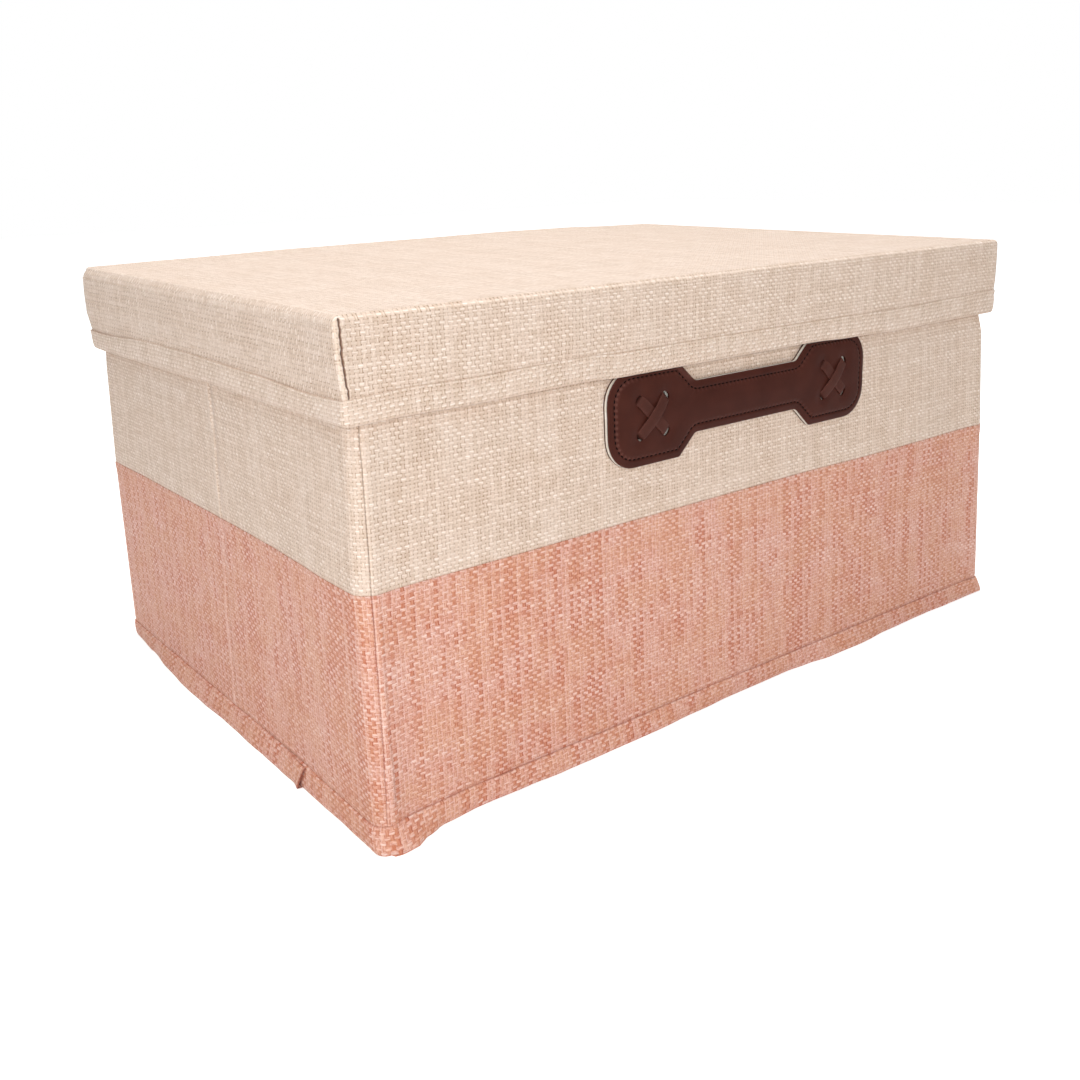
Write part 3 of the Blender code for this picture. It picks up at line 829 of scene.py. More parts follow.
# From the folded edge at the tone seam down into the bottom binding.
def lowerRows():
    fine = [(toneSeam, 4 * mm, 0.7 * mm), (footTop, 5 * mm, 1.5 * mm)]
    return [(z, 0.0) for z in samples(1.5 * mm, toneSeam, wallCloth["step"], fine)]


# 0 on the open wall, 1 where the cloth lies inside the bottom binding.
def footShare(z):
    return smooth((footTop + 3 * mm - z) / (4 * mm))


# How much painted shade lies in the crease where the binding meets the wall.
def footCreaseShade(side, around):
    if side == "front":
        return 0.60 * smooth((around - 9 * mm) / (6 * mm))
    if side == "left":
        toLap = smooth((around - leftAround(-0.04)) / (12 * mm))
        return (0.05 + 0.75 * toLap) * smooth((leftAround(-0.096) - around) / (4 * mm))
    return 0.05


def makeWall(side, upper):
    values = wallCloth
    long = side in ("front", "back")
    sign = 1 if long else -1
    corner = sideNames.index(side)
    start, stop = cornerAt(bodyLengths, corner), cornerAt(bodyLengths, corner + 1)
    seams = (start + sign * values["seam"], stop - sign * values["seam"])
    tuck = 0.0 if long else values["tuck"]
    first, last = seams[0] - tuck, seams[1] + tuck
    fine = [(seam, 1.5 * mm, 0.4 * mm) for seam in seams]
    fine += [(seam, 5 * mm, values["fineStep"]) for seam in seams]
    if not long:
        fine += [(start, 11 * mm, 1.5 * mm), (stop, 11 * mm, 1.5 * mm),
                 (foldAt(side, 0.15) + 0.5 * mm, 6.0 * mm, 0.5 * mm)]
    columns = samples(first, last, values["step"], fine)
    path = upperRows() if upper else lowerRows()
    rows = [{"z": z, "inset": inset, "ring": bodyRing(z, inset), "run": run}
            for (z, inset), run in zip(path, runLengths(path))]
    seed = corner * 3.7 + (1.9 if upper else 0.0)

    def slide(around, row):
        near, far = [1 - smooth(abs(around - seam) / values["seamReach"]) for seam in seams]
        return around + sign * seamShift(row["z"]) * (near - far)

    # Distance from the nearer corner seam, positive on the open cloth.
    def fromSeam(around, row):
        shift = sign * seamShift(row["z"])
        return min(around - seams[0] - shift, seams[1] - shift - around)

    def relief(around, row):
        z, inFoot = row["z"], footShare(row["z"])
        if row["inset"] > 0:
            return 0.0
        near = fromSeam(around, row)
        high = values["unevenness"] * (0.5 + 0.5 * ripple(around, z, 55 * mm, seed))
        high *= smooth((lidLow - z) / (20 * mm)) * (1 - inFoot)
        if long:
            under = smooth((bodyTop - z) / (6 * mm)) if z > lidLow + 14 * mm else 1.0
            covered = 0.30 + 0.70 * smooth((lidLow - z) / (8 * mm))
            high += foldedEdge(near, values["cornerLift"] * covered * under, values["cornerEase"])
        else:
            high += creaseShape(around, z, foldAt(side, z))[0] * (0.2 + 0.8 * smooth((lidLow - z) / (6 * mm)))
            high -= values["seamDip"] * (1 - smooth(near / (1.6 * mm)))
        if upper:
            return high - values["creamDip"] * smooth((toneSeam + 4 * mm - z) / (4 * mm))
        edge = foldedEdge(toneSeam - z, values["toneLift"], values["toneEase"])
        return high * (1 - inFoot) + edge - values["bindingCover"] * inFoot

    def place(around, row):
        spot, facing = row["ring"].spot(around)
        return (spot + facing * relief(around, row)).to_3d() + Vector((0, 0, row["z"]))

    # Painted highlight on the long walls' folded edges and on the fold ridge; painted shade in the corner seams,
    # the fold's valley, the binding's crease and under the lid; darker along the tone seam.
    def marks(around, row):
        if row["inset"] > 0:
            return 0.0, 0.0
        near, z = fromSeam(around, row), row["z"]
        seamShade = 0.55 + 0.25 * ripple(0.5, z, 9 * mm, 4.4)
        if not upper:
            seamShade *= 0.6 + 0.9 * smooth((z - 0.07) / 0.05)
        if long:
            highlight = 0.28 * peak(near, 0.8 * mm, 0.6 * mm)
            dark = seamShade * max(0.0, 1 - near / (0.35 * mm))
        else:
            _, highlight, dark = creaseShape(around, z, foldAt(side, z))
            dark += seamShade * peak(near, 0, 0.55 * mm)
        if not upper:
            dark += 0.08 * peak(z, toneSeam, 3 * mm) + footCreaseShade(side, around) * peak(z, footTop, 1.3 * mm)
        elif side == "front":       # the lid's shadow
            dark += 0.45 * peak(z, lidLow - 0.6 * mm, 1.3 * mm)
        return highlight, min(dark, 1.0)

    name = side + ("_cloth_upper" if upper else "_cloth_lower")
    made = clothStrip("woven_" + name, columns, rows, place, values["thickness"],
                      creamCloth if upper else pinkCloth, marks, slide)
    standIn(made, "box", name)


for wallSide in sideNames:
    makeWall(wallSide, True)
    makeWall(wallSide, False)
print("wall cloth ready")


# Bottom binding: one strip round the foot whose end laps over its start on the left side
footBinding = {
    "thickness": 0.7 * mm,
    "path": (   # outwards from the wall cloth and up, in mm
        (0.0, 9.6), (0.05, 11.4), (0.40, 12.2), (0.80, 11.7), (1.05, 9.5), (1.20, 7.0), (1.20, 4.0),
        (0.95, 1.6), (0.45, 0.5), (-0.35, 0.0), (-1.6, 0.0), (-2.4, 0.1), (-2.9, 0.9), (-2.9, 4.0), (-2.9, 9.5),
    ),
    "step": 3.0 * mm,
    "lapStart": -71.0 * mm,     # y where the strip starts, under its own end
    "lapEnd": -93.0 * mm,
    "lapRise": 1.9 * mm,
    "lapEase": 30.0 * mm,
    "lapSlant": 5.0 * mm,
    "tipFlare": 1.4 * mm,
    "hug": 0.80 * mm,           # pressed into the wall cloth
    "frontGap": 0.50 * mm,
    "topWave": 0.8 * mm,
    "sideWave": 0.5 * mm,
}


def makeFootBinding():
    values = footBinding
    first = leftAround(values["lapStart"])
    last = leftAround(values["lapEnd"]) + bodyRound
    fine = [(cornerAt(bodyLengths, 4) + cornerAt(bodyLengths, k), 12 * mm, 1.2 * mm) for k in range(4)]
    fine += [(last, 5 * mm, 0.8 * mm), (last - bodyRound, 5 * mm, 1.0 * mm), (first, 3 * mm, 1.0 * mm)]
    columns = samples(first, last, values["step"], fine)
    rows = []
    for (out, up), run in zip(values["path"], runLengths(values["path"])):
        rows.append({"out": out * mm, "z": up * mm, "run": run * mm, "ring": bodyRing(up * mm),
                     "inner": out < -0.3, "hugs": len(rows) < 3})

    def place(around, row):
        z, toEnd = row["z"], last - around
        up = z / footTop
        onLap = smooth(1 - toEnd / values["lapEase"])
        underLap = smooth(1 - (around - first) / (24 * mm))
        cut = values["lapSlant"] * (0.5 - up) * smooth(1 - toEnd / (14 * mm))
        spot, facing = row["ring"].spot(around - cut)
        out = row["out"]
        if row["hugs"]:
            gaping = smooth(around / (14 * mm)) * smooth((bodyLengths[0] - around) / (14 * mm))
            out -= values["hug"] - values["frontGap"] * gaping
        if row["inner"]:
            out -= 0.8 * mm * onLap
        else:
            out += onLap * (values["lapRise"] + values["tipFlare"] * smooth(1 - toEnd / (8 * mm)) * (1 - up))
            out += values["sideWave"] * ripple(around, z, 17 * mm, 2.5) * (0.4 + 0.6 * (1 - up))
        high = z + values["topWave"] * ripple(around, 0.0, 22 * mm, 6.1) * smooth(z / (8 * mm))
        high += 0.75 * mm * underLap * (1 - smooth(z / (4 * mm)))
        high += 0.4 * mm * max(0.0, ripple(around, 0.2, 35 * mm, 1.4)) * (1 - smooth(z / (5 * mm)))
        return (spot + facing * out).to_3d() + Vector((0, 0, max(high, 0.0)))

    def marks(around, row):
        # Painted shade along the lapped end of the strip.
        return 0.0, 0.7 * max(0.0, 1 - (last - around) / (1.4 * mm))

    made = clothStrip("folded_bottom_binding", columns, rows, place, values["thickness"], pinkCloth, marks)
    made.data.flip_normals()
    standIn(made, "box", "bottom_binding")


makeFootBinding()
print("bottom binding ready")


# A flat panel whose edge is drawn out along a path of level and inset, ring after ring, into a rim.
def panelAndRim(name, panelRing, path, ringAt, steps, thickness, material, panelPlace, rimPlace=None,
                down=False):
    shares = []     # closer together towards the corners
    for count in steps:
        inner = [0.02 + 0.96 * i / count for i in range(1, count)]
        shares.append([0.0, 0.0026, 0.0052, 0.009, 0.014] + inner + [0.986, 0.991, 0.9948, 0.9974, 1.0])
    countX, countY = len(shares[0]) - 1, len(shares[1]) - 1
    mesh = bmesh.new()
    bmesh.ops.create_grid(mesh, x_segments=countX, y_segments=countY, size=0.5)
    around, run = [mesh.verts.layers.float.new(key) for key in ("around", "run")]
    lengths = panelRing.lengths
    edge = []
    for side in range(4):
        edge.append([cornerAt(lengths, side) + share * lengths[side] for share in shares[side % 2]])
        if side > 1:
            edge[side].reverse()
    spots = [[panelRing.spot(place)[0] for place in places] for places in edge]
    for vert in mesh.verts:
        column = round((vert.co.x + 0.5) * countX)
        row = round((vert.co.y + 0.5) * countY)
        s, t = shares[0][column], shares[1][row]
        spot = spots[0][column] * (1 - t) + spots[2][column] * t
        spot = spot + spots[3][row] * (1 - s) + spots[1][row] * s
        spot = spot - (spots[0][0] * (1 - s) + spots[0][-1] * s) * (1 - t)
        spot = spot - (spots[2][0] * (1 - s) + spots[2][-1] * s) * t
        vert.co = panelPlace(spot, s, t)
        onEdge = ((column == 0, edge[3][row]), (row == countY, edge[2][column]),
                  (column == countX, edge[1][row]), (row == 0, edge[0][column]))
        for there, place in onEdge:
            if there:
                vert[around] = place
    flat = set(mesh.faces)
    for (z, inset), length in zip(path, runLengths(path)):
        ring = ringAt(z, inset)
        rim = [e for e in mesh.edges if e.is_boundary]
        grown = bmesh.ops.extrude_edge_only(mesh, edges=rim)["geom"]
        for vert in [g for g in grown if isinstance(g, bmesh.types.BMVert)]:
            spot, facing = ring.spot(vert[around])
            vert[run] = length
            vert.co = spot.to_3d() + Vector((0, 0, z))
            if rimPlace:
                vert.co = rimPlace(vert.co, facing.to_3d(), vert[around], z)

    def uvPlace(vert, face):
        if face in flat:
            return vert.co.x, vert.co.y
        middle = face.calc_center_median()
        if abs(middle.x) / lengths[0] < abs(middle.y) / lengths[1]:
            return vert.co.x, copysign(lengths[1] / 2 + vert[run], middle.y)
        return copysign(lengths[0] / 2 + vert[run], middle.x), vert.co.y

    layUv(mesh, uvPlace)
    if down:
        bmesh.ops.reverse_faces(mesh, faces=mesh.faces)
    return finishSheet(name, mesh, thickness, material)


# Lid cover: one cloth over the top and down the rim, slit at its near corner
lidCover = {
    "thickness": 0.8 * mm,
    "edgeRound": 2.2 * mm,
    "edgeSteps": 5,
    "softEdge": (   # radius of the top edge along the front, right, back and left, in mm
        ((0, 3.8), (0.06, 3.4), (1, 2.8)), ((0, 2.8), (1, 3.0)), ((0, 3.0), (0.8, 4.5), (1, 7.0)),
        ((0, 7.0), (0.6, 6.2), (1, 4.2)),
    ),
    "backRise": ((0, 2.1), (0.12, 2.8), (0.32, 4.0), (0.50, 4.4), (0.66, 5.0), (0.80, 4.6), (0.92, 3.2),
                 (1, 2.7)),
    "low": 1.4 * mm,            # above the lid's lower edge
    "rowStep": 1.0 * mm,
    "topWave": 0.35 * mm,
    "slitAround": 2.6 * mm,
    "slitTop": 0.5 * mm,        # below the top
    "slitLow": 8.0 * mm,        # above the lid's lower edge
    "slitGap": 1.15 * mm,
    "slitLift": 0.45 * mm,
    "slitTurn": ((0.08 * mm, 0.05, 0.5), (0.12 * mm, 1.3, 1.0)),   # depth, closing and painted shade
    "unevenness": 0.25 * mm,
}


# Parts the cover beside its near corner and turns both edges in.
def openSlit(cover):
    values = lidCover
    mesh = bmesh.new()
    mesh.from_mesh(cover.data)
    layers = mesh.verts.layers.float
    around, run = layers["around"], layers["run"]
    painted_shade, highlight = layers.new("painted_shade"), layers.new("painted_highlight")
    low, high = lidLow + values["slitLow"], lidTop - values["slitTop"]
    for vert in mesh.verts:
        if vert[run] == 0:
            continue
        # Painted highlight along the front's top edge and down the near corner.
        alongFront = smooth(vert[around] / (2 * mm)) * smooth((lidLengths[0] - vert[around]) / (9 * mm))
        broken = 0.7 + 0.6 * ripple(vert[around], 0.0, 6 * mm, 2.0)
        vert[highlight] = 0.38 * alongFront * broken * peak(lidTop - vert.co.z, 0.8 * mm, 0.9 * mm)
        if vert[around] == 0 and vert.co.z > low:
            vert[highlight] = 0.42

    def onSlit(vert):
        return abs(vert[around] - values["slitAround"]) < 0.01 * mm and low < vert.co.z < high

    bmesh.ops.split_edges(mesh, edges=[e for e in mesh.edges if all(onSlit(v) for v in e.verts)])
    torn = [e for e in mesh.edges if e.is_boundary and min(v.co.z for v in e.verts) > low]
    sides = {}
    for vert in {v for e in torn for v in e.verts}:
        middle = sum((f.calc_center_median() for f in vert.link_faces), Vector()) / len(vert.link_faces)
        sides[vert] = 0 if len(vert.link_faces) > 2 else copysign(1, middle.x - vert.co.x)
        # Painted highlight on the slit's edges.
        vert[highlight] = 0.30
    flaps = {}      # how far each point of the slit is drawn aside
    for vert, side in sides.items():
        z = vert.co.z
        share = smooth((z - low) / (5 * mm)) * smooth((high + 1.5 * mm - z) / (3 * mm))
        wander = 0.35 * mm * ripple(0.2, z, 9 * mm, 3.0) + 0.60 * mm * ripple(0.6, z, 2.2 * mm, 3.0)
        half = values["slitGap"] / 2 * share * (0.60 + 0.40 * smooth((z - low) / (24 * mm)))
        flaps[vert] = side * half * (1 + 0.9 * ripple(side, z, 2.0 * mm, 8.0))
        vert.co.x += flaps[vert] + wander
        if side > 0:
            vert.co.y -= values["slitLift"] * share
    for depth, closing, dark in values["slitTurn"]:
        grown = bmesh.ops.extrude_edge_only(mesh, edges=torn)["geom"]
        torn = [g for g in grown if isinstance(g, bmesh.types.BMEdge) and g.is_boundary]
        turned = {}
        for vert in {v for e in torn for v in e.verts}:
            source = min(flaps, key=lambda other: (other.co - vert.co).length)
            # Painted shade inside the slit's turned edges, with no highlight there.
            vert[painted_shade], vert[highlight] = dark, 0.0
            turned[vert] = flaps[source]
        for vert, drawn in turned.items():
            vert.co.y += depth
            vert.co.x -= drawn * closing
        flaps = turned
    mesh.to_mesh(cover.data)
    mesh.free()


# How far the soft lid stands above its boards at a share of its length and width.
def lidRise(s, t):
    return tableValue(lidCover["backRise"], min(max(s, 0.0), 1.0)) * mm * min(max(t, 0.0), 1.0)


def makeLidCover():
    values = lidCover
    turn = values["edgeRound"]
    path = [(lidTop - turn + turn * c, turn - turn * s) for s, c in quarterTurn(values["edgeSteps"])]
    levels = samples(lidLow + values["low"], lidTop - turn, values["rowStep"])
    path += [(z, 0.0) for z in reversed(levels[:-1]) if z < lidTop - 5 * mm]

    def softness(side, share):
        return max(tableValue(values["softEdge"][side], share) * mm, turn)

    def panelPlace(spot, s, t):
        inside = smooth(min(s, 1 - s) * 12) * smooth(min(t, 1 - t) * 9)
        wave = values["topWave"] * (0.5 + 0.5 * ripple(spot.x, spot.y, 120 * mm, 3.3))
        high = lidTop + lidRise(s, t) - (0.35 * mm - wave) * inside
        fall = 0.0
        edges = ((t * lidLengths[1], s), ((1 - s) * lidLengths[0], t), ((1 - t) * lidLengths[1], 1 - s),
                 (s * lidLengths[0], 1 - t))
        for side, (away, share) in enumerate(edges):
            soft = softness(side, share)
            short = soft - turn - away
            if short > 0:
                fall = max(fall, soft - sqrt(soft * soft - short * short))
        return Vector((spot.x, spot.y, high - fall))

    def rimPlace(co, facing, around, z):
        depth = lidTop - z
        rise = values["unevenness"] * (0.5 + 0.5 * ripple(around, z, 45 * mm, 7.7)) * smooth(depth / (9 * mm))
        low = smooth((lidLow + 13 * mm - z) / (4 * mm))     # lies flat under the binding
        co = co + facing * (rise * (1 - low) - 0.25 * mm * low)
        if depth < turn + 0.01 * mm:
            side = next(k for k in range(4) if around <= cornerAt(lidLengths, k + 1))
            soft = softness(side, (around - cornerAt(lidLengths, side)) / lidLengths[side])
            step = acos(min(max(1 - depth / turn, 0.0), 1.0)) / (pi / 2)
            first = asin(1 - turn / soft)
            angle = first + (pi / 2 - first) * step
            co = co - facing * (soft * (1 - sin(angle)) - turn * (1 - sin(step * pi / 2)))
            co.z = lidTop - soft * (1 - cos(angle))
        high = smooth((z - lidLow - 12.5 * mm) / (lidTop - lidLow - 14.7 * mm))
        co.z += high * lidRise(co.x / lidLengths[0] + 0.5, co.y / lidLengths[1] + 0.5)
        return co

    made = panelAndRim("woven_lid_cloth", lidRing(lidTop, turn), path, lidRing, (110, 78), values["thickness"],
                       creamCloth, panelPlace, rimPlace)
    openSlit(made)
    standIn(made, "lid", "lid_cloth")


makeLidCover()
print("lid cover ready")


# Lid binding: a folded strip whose upper edge and second crease wander, in mm round the lid and above its foot
lidBinding = {
    "thickness": 0.7 * mm,
    "band": 12.4 * mm,
    "path": (   # share of the band's height, and how far it stands out in mm
        (0.86, -0.45), (0.97, -0.25), (1.0, 0.35), (0.985, 0.85), (0.93, 1.0), (0.82, 0.9), (0.745, 0.55),
        (0.70, 0.9), (0.55, 1.15), (0.32, 1.15), (0.14, 0.95), (0.04, 0.45), (0.0, -0.2), (0.0, -2.6),
        (0.02, -3.7), (0.10, -4.1), (0.45, -4.1), (0.95, -4.1),
    ),
    "creaseShare": 0.745,
    "step": 4.0 * mm,
    "front": {
        "top": ((0, 11.4), (12, 12.0), (33, 12.8), (62, 12.4), (137, 13.8), (156, 12.4), (197, 12.8), (324, 12.6),
                (391, 11.9), (450, 13.0), (497, 14.2)),
        "low": ((0, -0.6), (32, 0.1), (61, -0.3), (137, 0.8), (156, -0.1), (242, 0.0), (304, 0.2), (348, -1.1),
                (393, -2.0), (490, -1.2)),
        "crease": ((0, 1.0), (90, 0.8), (118, 0.0), (380, 0.0), (430, 0.6), (500, 0.9)),
    },
    "left": {
        "top": ((0, 9.6), (30, 9.4), (116, 12.4), (172, 12.7), (260, 11.8), (315, 10.2), (347, 11.0)),
        "low": ((0, -2.4), (36, -2.6), (127, -1.8), (200, -0.8), (257, -1.2), (312, -1.0), (347, -0.6)),
        "crease": ((0, 0.0), (347, 0.0)),
    },
    "other": {"top": ((0, 12.0),), "low": ((0, 0.0),), "crease": ((0, 0.3),)},
}


# A line of the lid's binding, in metres, at a distance round the lid.
def bandLine(key, around):
    around %= lidRound
    leftStart = cornerAt(lidLengths, 3)
    front, left, other = (lidBinding[side][key] for side in ("front", "left", "other"))
    if around < lidLengths[0]:
        return tableValue(front, around / mm) * mm
    if around > leftStart:
        return tableValue(left, (around - leftStart) / mm) * mm
    wave = 0.5 * mm * ripple(around, 0.4, 60 * mm, 5.5) if key != "crease" else 0.0
    middle = other[0][1] * mm + wave
    middle += (front[-1][1] * mm - middle) * (1 - smooth((around - lidLengths[0]) / (60 * mm))) \
        + (left[0][1] * mm - middle) * (1 - smooth((leftStart - around) / (60 * mm)))
    return middle


def makeLidBinding():
    values = lidBinding
    band = values["band"]
    path = [(out * mm, share * band) for share, out in values["path"]]
    rows = []
    for (share, out), run in zip(values["path"], runLengths(path)):
        rows.append({"share": share, "out": out * mm, "run": run, "inner": out < -1.0,
                     "ring": lidRing(lidLow + share * band)})
    back = cornerAt(lidLengths, 2) + lidLengths[2] / 2
    corners = [cornerAt(lidLengths, k) for k in range(5)]
    corners += [corner + lidRound for corner in corners[:3]]
    columns = samples(back, back + lidRound, values["step"], [(corner, 9 * mm, 1.0 * mm) for corner in corners])

    def place(around, row):
        spot, facing = row["ring"].spot(around)
        top, low = bandLine("top", around), bandLine("low", around)
        share, out = row["share"], row["out"]
        if row["inner"]:
            z = lidLow + max(share * band, low * (1 - share))
        else:
            z = lidLow + low + (top - low) * share
            if abs(share - values["creaseShare"]) < 0.01:
                out += 0.45 * mm * (1 - bandLine("crease", around) / mm)
            out += 0.25 * mm * ripple(around, share * band, 26 * mm, 9.2)
        return (spot + facing * out).to_3d() + Vector((0, 0, z))

    made = clothStrip("folded_lid_binding", columns, rows, place, values["thickness"], creamCloth)
    mesh = bmesh.new()
    mesh.from_mesh(made.data)
    bmesh.ops.remove_doubles(mesh, verts=mesh.verts, dist=0.01 * mm)
    mesh.to_mesh(made.data)
    mesh.free()
    made.data.flip_normals()
    standIn(made, "lid", "lid_binding")


makeLidBinding()
print("lid binding ready")


# Inner cloths, seen when the lid is off
innerCloth = {
    "liningInset": 5.4 * mm,
    "liningThickness": 0.4 * mm,
    "liningBelowRim": 5.0 * mm,
    "lidLiningInset": 3.4 * mm,
    "lidLiningRound": 1.5 * mm,
    "bottomInset": 1.1 * mm,
    "bottomRound": 2.0 * mm,
    "floorRound": 3.0 * mm,
    "coverThickness": 0.6 * mm,
    "coverRound": 1.2 * mm,
    "coverTuck": 25 * mm,
}


def level(high):
    return lambda spot, s, t: Vector((spot.x, spot.y, high))


def makeLining():
    values = innerCloth
    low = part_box("lining")[0].z + values["liningThickness"]
    high = bodyTop - values["liningBelowRim"]
    turn, inset = values["floorRound"], values["liningInset"]
    path = [(low + turn - turn * c, inset + turn - turn * s) for s, c in quarterTurn(3)]
    path += [(z, inset) for z in samples(low + turn, high, 6 * mm)[1:]]

    def rimPlace(co, facing, around, z):
        loose = smooth((z - low) / (20 * mm)) * smooth((high - z) / (20 * mm))
        return co - facing * 0.35 * mm * (0.5 + 0.5 * ripple(around, z, 40 * mm, 2.2)) * loose

    made = panelAndRim("inner_lining", bodyRing(low, inset + turn), path, bodyRing, (70, 50),
                       values["liningThickness"], liningCloth, level(low), rimPlace)
    standIn(made, "box", "lining")


def makeLidLining():
    values = innerCloth
    low, high = (corner.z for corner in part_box("lid_lining"))
    high -= values["liningThickness"]
    inset, turn = values["lidLiningInset"], values["lidLiningRound"]
    path = [(high - turn + turn * c, inset + turn - turn * s) for s, c in quarterTurn(3)]
    path += [(z, inset) for z in reversed(samples(low, high - turn, 8 * mm)[:-1])]
    made = panelAndRim("lid_inner_lining", lidRing(high, inset + turn), path, lidRing, (60, 44),
                       values["liningThickness"], liningCloth, level(high), down=True)
    standIn(made, "lid", "lid_lining")


def makeBottomCloth():
    thickness, turn = wallCloth["thickness"], innerCloth["bottomRound"]
    low, high = (corner.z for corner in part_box("bottom_cloth"))
    low, high = low + 0.6 * mm, high - thickness
    inset = innerCloth["bottomInset"] + thickness
    path = [(high - 0.3 * mm, inset + turn), (high - turn, inset)] + [(z, inset) for z in (6 * mm, 3 * mm, low)]

    def rimPlace(co, facing, around, z):
        return co - facing * wallCloth["bindingCover"] * footShare(z)

    made = panelAndRim("woven_bottom_cloth", bodyRing(high, inset + 2 * turn), path, bodyRing, (60, 44), thickness,
                       pinkCloth, level(high), rimPlace, down=True)
    standIn(made, "box", "bottom_cloth")


def makeBaseCover():
    low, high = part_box("base_board_cover")
    turn, tuck = innerCloth["coverRound"], innerCloth["coverTuck"]
    lengths = (2 * high.x, 2 * high.y) * 2
    plain = {"levels": (100.0, 0.0), "radii": ((3.0,) * 4,) * 2}
    plain.update({name: (((0, 0.0),),) * 2 for name in sideNames})

    def ringAt(z, inset):
        return Ring(plain, (high.x, high.y), lengths, z, inset)

    path = [(high.z - turn + turn * c, turn - turn * s) for s, c in quarterTurn(3)]
    path += [(low.z + turn - turn * s, turn - turn * c) for s, c in quarterTurn(3, 0)]
    path += [(low.z, inset) for inset in (6 * mm, 15 * mm, tuck)]

    def panelPlace(spot, s, t):
        inside = smooth(min(s, 1 - s) * 14) * smooth(min(t, 1 - t) * 10)
        wave = 0.18 * mm * ripple(spot.x, spot.y, 60 * mm, 1.1)
        return Vector((spot.x, spot.y, high.z + (wave - 0.1 * mm) * inside))

    made = panelAndRim("wrapped_base_board_cover", ringAt(high.z, turn), path, ringAt, (70, 50),
                       innerCloth["coverThickness"], liningCloth, panelPlace)
    standIn(made, "base_board", "base_board_cover")


makeLining()
makeLidLining()
makeBottomCloth()
makeBaseCover()
print("inner cloths ready")


# Handle: leather over a pale core, stitched round its edge and laced to the wall
strap = {
    "middle": (6.0 * mm, 185.5 * mm),
    "top": 208.7 * mm,      # the pads end just under the lid, which hides the rest of the real ones
    "length": 212.0 * mm,
    "padHeight": 52.2 * mm,
    "padFlat": 51.5 * mm,
    "padRound": 17.5 * mm,
    "shoulderRound": 3.0 * mm,
    "neckRun": 12.5 * mm,
    "neckRound": 5.0 * mm,
    "gripHeight": 28.5 * mm,
    "back": (0.3 * mm, 0.9 * mm),
    "core": (1.15 * mm, 2.4 * mm),
    "front": (2.65 * mm, 3.9 * mm),
    "borderBend": 0.55 * mm,
    "puff": 0.70 * mm,
    "dome": 0.35 * mm,
    "stitchIn": 4.5 * mm,
    "stitchPitch": 3.1 * mm,
    "stitchLength": 2.35 * mm,
    "stitchRadius": 0.40 * mm,
    "grooveDepth": 0.60 * mm,
    "grooveHalf": 0.90 * mm,
    "scallop": 0.42 * mm,       # the leather rises between the stitches
    "arcSteps": 9,
}
lacing = {
    "width": 6.6 * mm,
    "thickness": 0.8 * mm,
    "x": 75.0 * mm,
    "reach": 19.8 * mm / sqrt(2),
    "holeLong": 2.9 * mm,
    "holeShort": 1.7 * mm,
    "pinch": 0.94,
    "bevel": 0.18 * mm,
    "holeSteps": 14,
    "wide": 6,                  # faces across a lace
}


# Placing of the handle on the leaning wall: X along it, Y up it and Z out of it.
def wallFrame():
    x, z = strap["middle"]
    spot, _ = bodyRing(z).spot(bodyLengths[0] / 2 + x)
    lean = sqrt(1 + wallSlope ** 2)
    up = Vector((0, wallSlope, 1)) / lean
    out = Vector((0, -1, wallSlope)) / lean
    turn = Matrix((Vector((1, 0, 0)), up, out)).transposed().to_4x4()
    return Matrix.Translation((x, spot.y, z)) @ turn


onWall = wallFrame()


# Points round the handle's outline, pushed in by inset, with its corners still rounded.
def handleOutline(inset):
    s = strap
    long, high = s["length"] / 2, s["padHeight"] / 2
    quarter = (
        (long - s["padFlat"] - s["neckRun"], s["gripHeight"] / 2, -s["neckRound"]),
        (long - s["padFlat"], high, s["shoulderRound"]),
        (long, high, s["padRound"]),
    )
    corners, radii = [], []
    for signX, signY in ((1, 1), (1, -1), (-1, -1), (-1, 1)):     # clockwise, so inside is to the right
        for x, y, radius in quarter if signX == signY else reversed(quarter):
            corners.append(Vector((signX * x, signY * y)))
            radii.append(radius)
    count = len(corners)
    moved = []
    for i, corner in enumerate(corners):
        back = (corner - corners[i - 1]).normalized()
        ahead = (corners[(i + 1) % count] - corner).normalized()
        sideA, sideB = Vector((back.y, -back.x)), Vector((ahead.y, -ahead.x))
        moved.append(corner + (sideA + sideB) * inset / (1 + sideA.dot(sideB)))
    points = []
    for i, corner in enumerate(moved):
        radius = max(radii[i] - inset, 0.5 * mm) if radii[i] > 0 else inset - radii[i]
        back = (moved[i - 1] - corner).normalized()
        ahead = (moved[(i + 1) % count] - corner).normalized()
        half = back.angle(ahead) / 2
        reach = radius / tan(half)
        middle = corner + (back + ahead).normalized() * radius / sin(half)
        start = corner + back * reach - middle
        swing = start.angle_signed(corner + ahead * reach - middle)
        for step in range(s["arcSteps"] + 1):
            points.append(middle + Matrix.Rotation(-swing * step / s["arcSteps"], 2) @ start)
    return points


# Middle of each of the eight holes and the direction of its lace.
def laceHoles():
    for pad in (-1, 1):
        for lean in (-1, 1):
            along = Vector((1, lean)).normalized()
            for end in (-1, 1):
                yield Vector((pad * lacing["x"], 0)) + end * lacing["reach"] * along, along


def holeOutline(middle, along, grow=0.0):
    across = Vector((-along.y, along.x))
    short, long = lacing["holeShort"] + grow, lacing["holeLong"] + grow
    count = lacing["holeSteps"]
    angles = [2 * pi * step / count for step in range(count)]
    return [middle + along * short * cos(angle) + across * long * sin(angle) for angle in angles]


